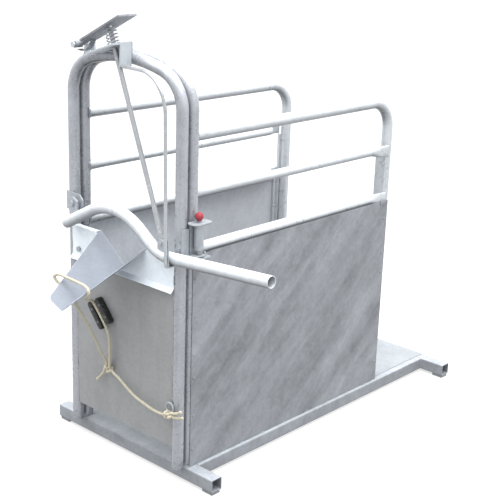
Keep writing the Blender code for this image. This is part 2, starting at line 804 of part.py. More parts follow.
def make_neck_bar_lug():
    """Upright lug on the bar for the pivot bolt, coped to the tube."""
    outline = [(-0.2565, 0.889), (-0.214, 0.912), (-0.2165, 0.963)]
    for k in range(1, 8):
        angle = math.radians(25.0 + 130.0 * k / 8.0)
        outline.append((pivot.x + 0.0225 * math.cos(angle), pivot.z + 0.0225 * math.sin(angle)))
    outline.append((-0.2635, 0.963))
    middle = 0.5 * (pivot_lug_front + pivot_lug_back)
    item = plate("neck_bar_lug", outline, pivot_lug_back - pivot_lug_front,
                 (0, middle, 0), (1, 0, 0), (0, 0, 1),
                 [circle((pivot.x, pivot.z), pivot_bolt_radius + rest_gap, 16)])
    clearance = tube("neck_bar_lug_cope", bar_path()[:8], tube_radius + rest_gap)
    carve(item, clearance)
    return finish(item, "neck_bar_lug", zinc("neck_bar_lug", zinc_bright, 0.38), False)


def make_clevis_ear(name, toward):
    """Ear on the bar that holds one end of the push rod's pin, coped to the tube."""
    low = 0.872
    outline = [(rod_pivot.x - 0.017, low), (rod_pivot.x + 0.017, low), (rod_pivot.x + 0.0135, rod_pivot.z)]
    for k in range(1, 8):
        angle = math.pi * k / 8.0
        outline.append((rod_pivot.x + 0.0135 * math.cos(angle), rod_pivot.z + 0.0135 * math.sin(angle)))
    outline.append((rod_pivot.x - 0.0135, rod_pivot.z))
    hole = [circle((rod_pivot.x, rod_pivot.z), rod_pin_radius + rest_gap, 14)]
    y = bar_y + toward * (rod_radius + running_gap + 0.5 * ear_thickness)
    item = plate(name, outline, ear_thickness, (0, y, 0), (1, 0, 0), (0, 0, 1), hole)
    carve(item, tube(name + "_cope", bar_path()[-9:], tube_radius + rest_gap))
    return finish(item, name, zinc(name, zinc_bright, 0.38), False)


def make_rod_pin():
    """Headed pin through the clevis ears."""
    x, z = rod_pivot.x, rod_pivot.z
    front = bar_y - rod_radius - running_gap - ear_thickness - rest_gap
    back = bar_y + rod_radius + running_gap + ear_thickness + 0.005
    shank = bar("shank", (x, front - 0.002, z), (x, back, z), rod_pin_radius, 14)
    head = bar("head", (x, front, z), (x, front - 0.0045, z), 0.0085, 14, 0.0006)
    return finish(union("rod_pin", [head, shank]), "rod_pin", zinc("rod_pin", zinc_bright, 0.33))


def make_push_rod():
    """Straight rod with an eye at its lower end; it runs up through the lock."""
    up = Vector((-math.sin(rod_tilt), 0.0, math.cos(rod_tilt)))
    top = rod_pivot + up * ((rod_top_z - rod_pivot.z) / math.cos(rod_tilt))
    shank = bar("shank", rod_pivot + up * 0.006, top, rod_radius, 16)
    across = Vector((0, rod_radius, 0))
    eye = bar("eye", rod_pivot - across, rod_pivot + across, 0.012, 20)
    item = union("push_rod", [eye, shank])
    hole = bar("push_rod_hole", rod_pivot - Vector((0, 0.02, 0)), rod_pivot + Vector((0, 0.02, 0)),
               rod_pin_radius + rest_gap, 14)
    carve(item, hole)
    return finish(item, "push_rod", zinc("push_rod", zinc_bright, 0.36))


def make_keeper_rod():
    """Thin rod in front of the neck bar, from the lock bracket down to the keeper hook."""
    start_x = lock_strip_right.x + 4.0 * rest_gap
    corners = [(start_x, keeper_top_y, keeper_top_z), (keeper_x - 0.006, keeper_y, keeper_top_z),
               (keeper_x + 0.004, keeper_y, keeper_bottom_z)]
    item = tube("keeper_rod", rounded_path(corners, [keeper_bend]), keeper_radius, 4)
    return finish(item, "keeper_rod", zinc("keeper_rod", zinc_mid, 0.42))


def make_keeper_hook():
    """Flat hook down in front of the neck bar and back under it to the right leg."""
    front = keeper_y + keeper_radius + rest_gap
    back = front + hook_thickness
    leg = gate_hoop_y - tube_radius - rest_gap
    arm_top = hook_low + hook_thickness
    outline = [(front, hook_high), (front, hook_low), (leg, hook_low), (leg, arm_top), (back, arm_top),
               (back, hook_high)]
    item = plate("keeper_hook", outline, hook_width, (hook_x, 0, 0), (0, 1, 0), (0, 0, 1))
    return finish(item, "keeper_hook", zinc("keeper_hook", zinc_bright, 0.38), False)


def make_lock_bracket():
    """Strip that slopes up along the crown and folds down into an upright end plate."""
    t = lock_strip_thickness
    along = (lock_strip_right - lock_strip_left).normalized()
    below = Vector((along.z, 0.0, -along.x)) * t
    inner_x = lock_strip_right.x - t
    reach = (inner_x - lock_strip_left.x - below.x) / along.x
    inner = lock_strip_left + below + along * reach
    outline = [(lock_strip_left.x, lock_strip_left.z), (lock_strip_right.x, lock_strip_right.z),
               (lock_strip_right.x, lock_end_bottom), (inner_x, lock_end_bottom), (inner_x, inner.z),
               (lock_strip_left.x + below.x, lock_strip_left.z + below.z)]
    depth = lock_strip_back - lock_strip_front
    middle = 0.5 * (lock_strip_back + lock_strip_front)
    item = plate("lock_bracket", outline, depth, (0, middle, 0), (1, 0, 0), (0, 0, 1))
    carve(item, rod_slot("lock_bracket_slot", lock_strip_slot_z, 0.016))
    step_low = (inner_x - 0.0005, lock_strip_front - 0.005, lock_end_bottom - 0.005)
    step_high = (lock_strip_right.x + 0.005, lock_end_front, inner.z - 0.0005)
    carve(item, block("lock_bracket_step", step_low, step_high))
    return finish(item, "lock_bracket", zinc("lock_bracket", zinc_bright, 0.36), False)


def rod_axis_at(z):
    """Point of the push rod's centre line at a given height."""
    return Vector((rod_pivot.x - (z - rod_pivot.z) * math.tan(rod_tilt), bar_y, z))


def rod_slot(name, z, depth):
    """Slot cutter square to the push rod, long across the crate."""
    across = (math.cos(rod_tilt), 0.0, math.sin(rod_tilt))
    return plate(name, slot_outline((0.0, 0.0), slot_half_length, slot_half_width), depth,
                 rod_axis_at(z), across, (0.0, 1.0, 0.0))


def make_lock_web():
    """Upright web between the bracket's rear edge and the crown of the gate hoop."""
    crown_z = crown_top - crown_radius
    web_right = lock_strip_right.x - rest_gap
    web_left = -0.080
    foot = []
    for k in range(7):
        x = web_right - (web_right - web_left) * k / 6.0
        foot.append((x, crown_z + math.sqrt(crown_radius ** 2 - x ** 2) + 0.0145))
    outline = foot + [(web_left, 1.5182), (web_right, lock_strip_right.z - 0.0010)]
    thickness = 0.0045
    y = lock_strip_back + rest_gap + 0.5 * thickness
    item = plate("lock_web", outline, thickness, (0, y, 0), (1, 0, 0), (0, 0, 1))
    return finish(item, "lock_web", zinc("lock_web", zinc_dull, 0.5), False)


def make_lock_lug(name, y):
    """Upright lug on the hoop's left shoulder for the lock's hinge pin, coped to the tube."""
    outline = [(lock_pin.x - 0.019, 1.480), (lock_pin.x + 0.019, 1.486), (lock_pin.x + 0.0125, lock_pin.z)]
    for k in range(1, 8):
        angle = math.pi * k / 8.0
        outline.append((lock_pin.x + 0.0125 * math.cos(angle), lock_pin.z + 0.0125 * math.sin(angle)))
    outline.append((lock_pin.x - 0.0125, lock_pin.z))
    hole = [circle((lock_pin.x, lock_pin.z), lock_pin_radius + rest_gap, 14)]
    item = plate(name, outline, 0.006, (0, y, 0), (1, 0, 0), (0, 0, 1), hole)
    carve(item, tube(name + "_cope", hoop_path(gate_hoop_y, gate_leg_bottom)[4:15], tube_radius + rest_gap))
    return finish(item, name, zinc(name, zinc_mid, 0.42), False)


def make_lock_hinge_pin():
    """Headed pin that carries the lock plate."""
    x, z = lock_pin.x, lock_pin.z
    shank = bar("shank", (x, -0.110, z), (x, -0.015, z), lock_pin_radius, 14)
    head = bar("head", (x, -0.1125, z), (x, -0.1075, z), 0.0105, 14, 0.0008)
    return finish(union("lock_hinge_pin", [head, shank]), "lock_hinge_pin",
                  zinc("lock_hinge_pin", zinc_bright, 0.33))


def make_lock_plate():
    """Tilted thumb plate with a narrow tail and an eye round the hinge pin."""
    along = Vector((math.cos(lock_plate_tilt), 0.0, math.sin(lock_plate_tilt)))
    tail = 0.0560
    half = lock_plate_half_width
    tail_half = 0.015
    centre_v = bar_y
    outline = [(-tail, -tail_half), (-0.008, -tail_half), (0.004, -half), (lock_plate_length, -half),
               (lock_plate_length, half), (0.004, half), (-0.008, tail_half), (-tail, tail_half)]
    item = plate("lock_plate", outline, lock_plate_thickness, lock_plate_left + Vector((0, centre_v, 0)),
                 along, (0, 1, 0))
    eye = bar("eye", (lock_pin.x, centre_v - tail_half, lock_pin.z),
              (lock_pin.x, centre_v + tail_half, lock_pin.z), 0.0120, 20)
    item = union("lock_plate", [item, eye])
    bore = bar("lock_plate_bore", (lock_pin.x, centre_v - 0.05, lock_pin.z),
               (lock_pin.x, centre_v + 0.05, lock_pin.z), lock_pin_radius + rest_gap, 14)
    carve(item, bore)
    carve(item, rod_slot("lock_plate_slot", lock_plate_slot_z, 0.030))
    return finish(item, "lock_plate", zinc("lock_plate", zinc_bright, 0.38), False)


def make_lock_strap():
    """Curved strap under the lock plate's tail."""
    centre = [(-0.1720, 1.5155), (-0.1500, 1.5135), (-0.1300, 1.5190), (-0.1120, 1.5330), (-0.0985, 1.5560)]
    half = 0.0015
    upper = []
    lower = []
    for k, place in enumerate(centre):
        before = Vector(centre[max(0, k - 1)])
        after = Vector(centre[min(len(centre) - 1, k + 1)])
        along = (after - before).normalized()
        aside = Vector((-along.y, along.x)) * half
        upper.append(tuple(Vector(place) + aside))
        lower.append(tuple(Vector(place) - aside))
    item = plate("lock_strap", lower + upper[::-1], 0.022, (0, bar_y, 0), (1, 0, 0), (0, 0, 1))
    return finish(item, "lock_strap", zinc("lock_strap", zinc_bright, 0.33), False)


def helix(start, axis, radius, wire, turns, length, count=9):
    """Points of a coil about an axis, with one wire diameter of straight tail at each end."""
    axis = Vector(axis).normalized()
    first = axis.orthogonal().normalized()
    second = axis.cross(first)
    points = []
    total = turns * count
    for k in range(total + 1):
        angle = 2.0 * math.pi * k / count
        points.append(Vector(start) + axis * (length * k / total)
                      + first * (radius * math.cos(angle)) + second * (radius * math.sin(angle)))
    head = (points[0] - points[1]).normalized() * (2.0 * wire)
    tail = (points[-1] - points[-2]).normalized() * (2.0 * wire)
    return [points[0] + head] + points + [points[-1] + tail]


def least_self_gap(points, wire, count=9):
    """Smallest clear distance between neighbouring turns of a coil."""
    least = 1.0
    for i, first in enumerate(points):
        for second in points[i + count // 2 + 1:]:
            least = min(least, (first - second).length - 2.0 * wire)
    return least


def make_lock_spring():
    """Coil round the push rod, between the bracket and the lock plate."""
    up = Vector((-math.sin(rod_tilt), 0.0, math.cos(rod_tilt)))
    start = rod_axis_at(lock_strip_slot_z) + up * (spring_wire + rest_gap + 0.0018)
    length = 0.0500
    points = helix(start, up, spring_radius, spring_wire, spring_turns, length)
    print("lock spring least self-gap mm", round(1000.0 * least_self_gap(points, spring_wire), 2))
    item = tube("lock_spring", points, spring_wire, 1)
    return finish(item, "lock_spring", zinc("lock_spring", zinc_bright, 0.33))


def make_hinge_lug(name, level, toward):
    """Lug from a hoop's left leg out to the hinge axis; toward is +1 on the fixed hoop, -1 on the gate."""
    leg = Vector((-hoop_half_width, rear_hoop_y if toward > 0 else gate_hoop_y))
    pin = Vector((hinge_x, hinge_y))
    along = (leg - pin).normalized()
    aside = Vector((-along.y, along.x))
    outline = [leg - aside * hinge_arm_half_width, leg + aside * hinge_arm_half_width]
    open_angle = math.asin(hinge_arm_half_width / hinge_lug_radius)
    for k in range(13):
        angle = open_angle + (2.0 * math.pi - 2.0 * open_angle) * k / 12.0
        outline.append(pin + (along * math.cos(angle) + aside * math.sin(angle)) * hinge_lug_radius)
    z = level - toward * 0.5 * (hinge_lug_thickness + 0.001)
    item = plate(name, outline, hinge_lug_thickness, (0, 0, z), (1, 0, 0), (0, 1, 0),
                 [circle((hinge_x, hinge_y), hinge_pin_radius + rest_gap, 16)])
    carve(item, bar(name + "_cope", (leg.x, leg.y, z - 0.02), (leg.x, leg.y, z + 0.02),
                    tube_radius + rest_gap, 32))
    return finish(item, name, zinc(name), False)


def make_hinge_pin(name, level):
    """Headed pin of one gate hinge."""
    head_low = level + hinge_lug_thickness + 0.001 + rest_gap
    shank = bar("shank", (hinge_x, hinge_y, level - 0.022), (hinge_x, hinge_y, head_low + 0.002),
                hinge_pin_radius)
    head = bar("head", (hinge_x, hinge_y, head_low), (hinge_x, hinge_y, head_low + 0.005), 0.009, 16, 0.0006)
    return finish(union(name, [head, shank]), name, zinc(name, zinc_bright, 0.35))


def make_latch_bracket():
    """C bracket on the outer side of the fixed hoop's right leg, with holes for the plunger."""
    inner = hoop_half_width + tube_radius + rest_gap
    outer = 0.347
    t = 0.005
    outline = [(inner, latch_bottom), (outer, latch_bottom), (outer, latch_bottom + t),
               (inner + t, latch_bottom + t),
               (inner + t, latch_top - t), (outer, latch_top - t), (outer, latch_top), (inner, latch_top)]
    front = -0.016
    back = 0.046
    item = plate("latch_bracket", outline, back - front, (0, 0.5 * (front + back), 0), (1, 0, 0), (0, 0, 1))
    hole = bar("latch_bracket_hole", (latch_x, latch_y, latch_bottom - 0.01),
               (latch_x, latch_y, latch_top + 0.01), latch_pin_radius + running_gap, 18)
    bolt_hole = bar("latch_bolt_hole", (latch_x, latch_bolt_y, latch_bottom - 0.01),
                    (latch_x, latch_bolt_y, latch_bottom + 0.012), 0.0043, 14)
    carve(item, hole)
    carve(item, bolt_hole)
    return finish(item, "latch_bracket", zinc("latch_bracket", zinc_bright, 0.38), False)


def make_latch_top_cap():
    """Wide rounded cap plate on the latch bracket."""
    outline = [(0.3150, -0.034), (0.3400, -0.034), (0.352, -0.022), (0.352, 0.038), (0.340, 0.052),
               (0.3150, 0.052), (0.3020, 0.040), (0.3020, -0.022)]
    z = latch_top + rest_gap + 0.0015
    item = plate("latch_top_cap", outline, 0.003, (0, 0, z), (1, 0, 0), (0, 1, 0),
                 [circle((latch_x, latch_y), latch_pin_radius + running_gap, 18)])
    return finish(item, "latch_top_cap", zinc("latch_top_cap", zinc_bright, 0.33), False)


def make_latch_barrel():
    """Round barrel under the top of the bracket that holds the plunger's spring."""
    top = latch_top - 0.005 - rest_gap
    low = 0.892
    shape_outline = circle((latch_x, latch_y), 0.0165, 24)
    item = plate("latch_barrel", shape_outline, top - low, (0, 0, 0.5 * (top + low)), (1, 0, 0), (0, 1, 0),
                 [circle((latch_x, latch_y), 0.0135, 24)])
    return finish(item, "latch_barrel", zinc("latch_barrel", zinc_mid, 0.4))


def make_latch_bolt():
    """Stop bolt in the bracket's bottom leaf, its nut run on above the leaf."""
    y = latch_bolt_y
    head_top = latch_bottom - rest_gap
    shank = bar("shank", (latch_x, y, head_top - 0.002), (latch_x, y, latch_bottom + 0.018), 0.004, 14)
    head = bar("head", (latch_x, y, head_top - 0.0055), (latch_x, y, head_top), 0.0075, 6, 0.0005)
    nut_low = latch_bottom + 0.005 + rest_gap
    nut = bar("nut", (latch_x, y, nut_low), (latch_x, y, nut_low + 0.0065), 0.0075, 6)
    item = union("latch_bolt", [head, shank, nut])
    return finish(item, "latch_bolt", zinc("latch_bolt", zinc_bright, 0.33), False)


def make_latch_plunger():
    """Upright locking pin with a spring collar, drawn up so that its end just clears the tongue."""
    low = tongue_high + running_gap
    pin = bar("pin", (latch_x, latch_y, low), (latch_x, latch_y, knob_z - 0.006), latch_pin_radius, 18, 0.0012)
    collar = bar("collar", (latch_x, latch_y, 0.900), (latch_x, latch_y, 0.907), 0.0125, 18)
    return finish(union("latch_plunger", [collar, pin]), "latch_plunger",
                  zinc("latch_plunger", zinc_bright, 0.33))


def make_red_knob():
    """Red ball knob on the plunger."""
    item = ball("red_knob", (latch_x, latch_y, knob_z), (knob_radius, knob_radius, knob_radius), 24, 14)
    socket = bar("red_knob_socket", (latch_x, latch_y, knob_z - 0.03),
                 (latch_x, latch_y, knob_z - 0.006 + rest_gap), latch_pin_radius + rest_gap, 18)
    carve(item, socket)
    return finish(item, "red_knob", surface("red_knob", (0.45, 0.035, 0.05), 0.3, 0.0))


def make_gate_tongue():
    """Tongue on the gate's right leg that reaches back into the latch, with the plunger's hole."""
    inner = hoop_half_width + tube_radius + rest_gap
    outline = [(inner, gate_hoop_y - 0.020), (0.322, gate_hoop_y - 0.020), (0.343, gate_hoop_y + 0.004),
               (0.343, 0.020), (0.337, 0.026), (0.313, 0.026), (0.3075, 0.020), (0.3075, -0.0195),
               (inner, -0.0195)]
    item = plate("gate_tongue", outline, tongue_high - tongue_low, (0, 0, 0.5 * (tongue_low + tongue_high)),
                 (1, 0, 0), (0, 1, 0), [circle((latch_x, latch_y), latch_pin_radius + running_gap, 18)])
    web = block("web", (inner, -0.052, tongue_high - 0.002), (inner + 0.005, -0.0205, 0.966))
    return finish(union("gate_tongue", [item, web]), "gate_tongue", zinc("gate_tongue", zinc_mid, 0.4), False)


def smooth_route(places, spacing):
    """Even points of a smooth curve through the given places."""
    places = [Vector(place) for place in places]
    fine = []
    for k in range(len(places) - 1):
        before = places[max(0, k - 1)]
        start = places[k]
        end = places[k + 1]
        after = places[min(len(places) - 1, k + 2)]
        for step in range(24):
            t = step / 24.0
            fine.append(0.5 * (2.0 * start + (end - before) * t
                               + (2.0 * before - 5.0 * start + 4.0 * end - after) * t * t
                               + (3.0 * start - before - 3.0 * end + after) * t * t * t))
    fine.append(places[-1])
    total = sum((b - a).length for a, b in zip(fine, fine[1:]))
    count = max(2, round(total / spacing))
    points = [fine[0]]
    walked = 0.0
    for a, b in zip(fine, fine[1:]):
        run = (b - a).length
        while len(points) < count and walked + run >= total * len(points) / count:
            share = (total * len(points) / count - walked) / run
            points.append(a.lerp(b, share))
        walked += run
    points.append(fine[-1])
    return points


noose_route = [(-0.0575, -0.063, 0.352), (-0.0570, -0.063, 0.392), (-0.056, -0.063, 0.440),
               (-0.060, -0.063, 0.482), (-0.075, -0.063, 0.513), (-0.0955, -0.0635, 0.5395),
               (-0.119, -0.064, 0.5665), (-0.139, -0.067, 0.5905), (-0.140, -0.079, 0.606),
               (-0.112, -0.106, 0.620), (-0.060, -0.154, 0.646), (-0.008, -0.202, 0.673),
               (0.038, -0.240, 0.697), (0.062, -0.258, 0.713), (0.082, -0.270, 0.734),
               (0.078, -0.270, 0.750), (0.050, -0.262, 0.754), (0.000, -0.258, 0.755),
               (-0.050, -0.262, 0.760), (-0.082, -0.268, 0.764), (-0.099, -0.274, 0.754),
               (-0.093, -0.270, 0.738), (-0.068, -0.258, 0.716), (-0.050, -0.238, 0.676),
               (-0.055, -0.190, 0.600), (-0.064, -0.135, 0.510), (-0.070, -0.090, 0.420),
               (-0.0710, -0.068, 0.380), (-0.0705, -0.063, 0.352)]
lead_route = [(-0.062, -0.063, 0.352), (-0.040, -0.063, 0.346), (-0.005, -0.063, 0.333),
              (0.035, -0.063, 0.312), (0.080, -0.063, 0.291), (0.130, -0.063, 0.279),
              (0.180, -0.065, 0.272), (0.230, -0.069, 0.274), (0.272, -0.0745, 0.286)]
slip_tail_routes = [[(-0.066, -0.063, 0.350), (-0.086, -0.064, 0.334), (-0.104, -0.064, 0.312),
                     (-0.128, -0.064, 0.288)]]
ring_tail_routes = [[(0.280, -0.076, 0.295), (0.305, -0.077, 0.303), (0.325, -0.078, 0.311),
                     (0.340, -0.078, 0.322)],
                    [(0.282, -0.076, 0.284), (0.305, -0.076, 0.287), (0.328, -0.075, 0.293),
                     (0.346, -0.075, 0.299)]]


def knot_clearance(name, centre, sizes):
    """Ellipsoid a little larger than a knot, to end the ropes just short of it."""
    return ball(name, centre, [size + rest_gap for size in sizes])


def make_rope_noose():
    """Rope from the slip knot through the cleat, round the scoop and back to the knot."""
    item = tube("rope_noose", smooth_route(noose_route, 0.026), rope_radius, rope_steps)
    carve(item, knot_clearance("noose_end", slip_knot_centre, slip_knot_size))
    return finish(item, "rope_noose", surface("rope_noose", (0.66, 0.60, 0.45), 0.9, 0.0))


def make_rope_lead():
    """Rope that sags from the slip knot to the knot on the ring."""
    item = tube("rope_lead", smooth_route(lead_route, 0.026), rope_radius, rope_steps)
    carve(item, knot_clearance("lead_end", slip_knot_centre, slip_knot_size))
    carve(item, knot_clearance("lead_far_end", ring_knot_centre, ring_knot_size))
    return finish(item, "rope_lead", surface("rope_lead", (0.66, 0.60, 0.45), 0.9, 0.0))


def knot_with_tails(name, centre, sizes, routes):
    """Round knot and the free ends that leave it, as one body."""
    parts = [ball(name, centre, sizes, 16, 10)]
    parts += [tube("tail", smooth_route(route, 0.014), rope_radius, rope_steps) for route in routes]
    return union(name, parts)


def make_slip_knot():
    """Knot that closes the noose, with its free end."""
    item = knot_with_tails("slip_knot", slip_knot_centre, slip_knot_size, slip_tail_routes)
    return finish(item, "slip_knot", surface("slip_knot", (0.64, 0.58, 0.43), 0.9, 0.0))


def make_ring_knot():
    """Knot on the tie ring, with its two free ends."""
    item = knot_with_tails("ring_knot", ring_knot_centre, ring_knot_size, ring_tail_routes)
    carve(item, torus("ring_knot_channel", ring_centre, (0, 1, 0), ring_radius, ring_wire + rest_gap))
    return finish(item, "ring_knot", surface("ring_knot", (0.64, 0.58, 0.43), 0.9, 0.0))


def make_fixed_parts():
    """All pieces that stand still."""
    low_hinge, high_hinge = hinge_levels
    return [make_cross_beam("front_cross_beam", front_beam_front),
            make_cross_beam("rear_cross_beam", rear_beam_front),
            make_side_beam("left_side_beam", -1), make_side_beam("right_side_beam", 1),
            make_floor_sheet(), make_rear_hoop(),
            make_side_frame("left_side_frame", -1), make_side_frame("right_side_frame", 1),
            make_mid_rail("left_mid_rail", -1), make_mid_rail("right_mid_rail", 1),
            make_low_rail("left_low_rail", -1), make_low_rail("right_low_rail", 1),
            make_side_sheet("left_side_sheet", -1), make_side_sheet("right_side_sheet", 1),
            make_sheet_bar("left_sheet_bar", -1), make_sheet_bar("right_sheet_bar", 1),
            make_hinge_lug("lower_post_lug", low_hinge, 1), make_hinge_lug("upper_post_lug", high_hinge, 1),
            make_hinge_pin("lower_hinge_pin", low_hinge), make_hinge_pin("upper_hinge_pin", high_hinge),
            make_latch_bracket(), make_latch_top_cap(),
            make_latch_barrel(), make_latch_bolt()]


def make_gate_parts():
    """All pieces that swing with the gate alone."""
    low_hinge, high_hinge = hinge_levels
    return [make_gate_hoop(), make_gate_sheet(), make_yoke_plate(), make_head_scoop(), make_yoke_bolt(),
            make_rope_cleat(), make_tie_ring(), make_pivot_plate(), make_pivot_bolt(), make_pivot_washer(),
            make_keeper_rod(), make_keeper_hook(), make_lock_bracket(), make_lock_web(),
            make_lock_lug("front_lock_lug", -0.0465), make_lock_lug("rear_lock_lug", -0.0220),
            make_lock_hinge_pin(), make_lock_spring(),
            make_hinge_lug("lower_gate_lug", low_hinge, -1), make_hinge_lug("upper_gate_lug", high_hinge, -1),
            make_gate_tongue(), make_rope_noose(), make_rope_lead(), make_slip_knot(), make_ring_knot()]


def pivot_empty(name, place, parent):
    """Empty on a joint axis that carries a moving group."""
    empty = bpy.data.objects.new(name, None)
    empty.empty_display_size = 0.05
    collection_named("axes").objects.link(empty)
    empty.parent = parent
    offset = Vector(place)
    if parent is not None:
        offset = offset - Vector(parent["place"])
    empty.location = offset
    empty["place"] = [*place]
    return empty


def attach(items, parent):
    """Hang objects on an empty without moving them."""
    for item in items:
        item.parent = parent
        item.location = -Vector(parent["place"])


def attach_cutters():
    """Hang every cutter on the same empty as the object it serves."""
    for cutter in collection_named("cutters").objects:
        owner = bpy.data.objects[cutter["serves"]]
        attach([cutter], owner.parent)


def ground_centre(items):
    """Middle of the footprint box, at ground height."""
    low = [1e9, 1e9, 1e9]
    high = [-1e9, -1e9, -1e9]
    for item in items:
        shape = evaluated_shape(item)
        for vertex in shape.verts:
            for k in range(3):
                low[k] = min(low[k], vertex.co[k])
                high[k] = max(high[k], vertex.co[k])
        shape.free()
    return Vector((0.5 * (low[0] + high[0]), 0.5 * (low[1] + high[1]), low[2]))


def build():
    """Make every piece, hang the moving ones on their axes and centre the crate on the ground."""
    clear_scene()
    fixed = make_fixed_parts()
    gate = make_gate_parts()
    neck = [make_neck_bar(), make_neck_bar_lug(), make_clevis_ear("front_clevis_ear", -1),
            make_clevis_ear("rear_clevis_ear", 1), make_rod_pin()]
    rod = [make_push_rod()]
    lever = [make_lock_plate(), make_lock_strap()]
    plunger = [make_latch_plunger(), make_red_knob()]
    cords = {"rope_noose", "rope_lead", "slip_knot", "ring_knot"}
    solid = [item for item in fixed + gate + neck + rod + lever + plunger if item.name not in cords]
    centre = ground_centre(solid)
    frame = pivot_empty("crate_frame", (0.0, 0.0, 0.0), None)
    gate_axis = pivot_empty("gate_swing_axis", (hinge_x, hinge_y, 0.0), frame)
    neck_axis = pivot_empty("neck_bar_axis", pivot, gate_axis)
    rod_axis = pivot_empty("rod_axis", rod_pivot, neck_axis)
    lever_axis = pivot_empty("lock_lever_axis", (lock_pin.x, bar_y, lock_pin.z), gate_axis)
    plunger_axis = pivot_empty("latch_plunger_axis", (latch_x, latch_y, latch_top), frame)
    for items, axis in ((fixed, frame), (gate, gate_axis), (neck, neck_axis), (rod, rod_axis),
                        (lever, lever_axis), (plunger, plunger_axis)):
        attach(items, axis)
    attach_cutters()
    frame.location = -centre
    print("frame shift", [round(value, 6) for value in -centre])
    for axis in (gate_axis, neck_axis, rod_axis, lever_axis, plunger_axis):
        print(axis.name, [round(value, 6) for value in Vector(axis["place"]) - centre])


build()
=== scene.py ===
# Calf dehorning crate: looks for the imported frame. Metres, Z up.
import math

import bpy
import numpy as np
from mathutils import Matrix, Vector


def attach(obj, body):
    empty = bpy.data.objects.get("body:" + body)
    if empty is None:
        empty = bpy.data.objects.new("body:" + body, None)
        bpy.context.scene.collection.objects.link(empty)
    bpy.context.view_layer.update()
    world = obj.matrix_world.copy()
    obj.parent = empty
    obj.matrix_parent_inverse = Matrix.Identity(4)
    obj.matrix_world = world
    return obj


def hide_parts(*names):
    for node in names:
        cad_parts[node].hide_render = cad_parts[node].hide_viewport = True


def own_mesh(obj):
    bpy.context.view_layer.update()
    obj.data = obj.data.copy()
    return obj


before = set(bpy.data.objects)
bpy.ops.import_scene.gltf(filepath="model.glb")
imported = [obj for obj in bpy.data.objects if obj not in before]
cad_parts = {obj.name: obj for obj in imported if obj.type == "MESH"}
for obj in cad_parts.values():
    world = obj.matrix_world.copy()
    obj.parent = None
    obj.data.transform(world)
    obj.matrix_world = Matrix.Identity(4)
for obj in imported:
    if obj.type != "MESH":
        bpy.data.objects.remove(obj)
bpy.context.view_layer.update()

# from the crate's own plan, whose zero is mid-width at the gate end, to the frame
planShift = np.array([-0.154724, -0.592406, 0.0])


def place(points):
    # plan coordinates to frame coordinates
    return np.asarray(points, float) + planShift


# camera, set at the photograph's angle
cameraView = {
    "spot": (2.8055, -2.4911, 2.0088),
    "yaw": 41.97,
    "down": 17.546,
    "roll": 1.97,
    "lens": 78.73,
    "sensor": 36.0,
    "reach": 60.0,
}


def makeCamera():
    # looks along yaw and down, then rolls about its own line of sight
    yaw, down, roll = (math.radians(cameraView[key]) for key in ("yaw", "down", "roll"))
    ahead = Vector((-math.sin(yaw) * math.cos(down), math.cos(yaw) * math.cos(down), -math.sin(down)))
    right = Vector((math.cos(yaw), math.sin(yaw), 0.0))
    up = right.cross(ahead)
    rolledRight = right * math.cos(roll) + up * math.sin(roll)
    rolledUp = up * math.cos(roll) - right * math.sin(roll)
    camera = bpy.data.objects.new("camera", bpy.data.cameras.new("camera"))
    camera.data.lens = cameraView["lens"]
    camera.data.sensor_width = cameraView["sensor"]
    camera.data.clip_end = cameraView["reach"]
    turn = Matrix((rolledRight, rolledUp, -ahead)).transposed().to_4x4()
    camera.matrix_world = Matrix.Translation(Vector(place(cameraView["spot"]))) @ turn
    bpy.context.scene.collection.objects.link(camera)
    bpy.context.scene.camera = camera


makeCamera()
print("stage: camera placed")


# shapes worked out as arrays
def circleOf(sides):
    # unit circle in a profile's own plane
    angle = np.linspace(0.0, 2.0 * np.pi, sides, endpoint=False)
    return np.stack([np.cos(angle), np.sin(angle)], -1)


def loft(rings):
    # closed skin over a stack of rings: quads between neighbouring rings, a fan over the first and last
    rings = np.asarray(rings, float)
    count, sides = rings.shape[:2]
    index = np.arange(count * sides).reshape(count, sides)
    ahead = np.roll(index, -1, axis=1)
    quads = np.stack([index[:-1], ahead[:-1], ahead[1:], index[1:]], -1).reshape(-1, 4)
    points = np.concatenate([rings.reshape(-1, 3), [rings[0].mean(axis=0)], [rings[-1].mean(axis=0)]])
    first = np.stack([np.full(sides, count * sides), ahead[0], index[0]], -1)
    last = np.stack([np.full(sides, count * sides + 1), index[-1], ahead[-1]], -1)
    return points, quads, np.concatenate([first, last])


def outward(shape):
    # a closed skin with a negative signed volume is turned the other way round
    points, quads, tris = shape
    fans = np.concatenate([tris, quads[:, :3], quads[:, [0, 2, 3]]])
    a, b, c = (points[fans[:, k]] for k in range(3))
    if np.einsum("ij,ij->i", a, np.cross(b, c)).sum() < 0.0:
        quads = quads[:, ::-1]
        tris = tris[:, ::-1]
    return points, quads, tris


def merged(shapes):
    # several skins as one set of arrays, their face numbers moved along
    shapes = [outward(shape) for shape in shapes]
    starts = np.cumsum([0] + [len(shape[0]) for shape in shapes[:-1]])
    points = np.concatenate([shape[0] for shape in shapes])
    quads = np.concatenate([shape[1] + start for shape, start in zip(shapes, starts)])
    tris = np.concatenate([shape[2] + start for shape, start in zip(shapes, starts)])
    return points, quads, tris


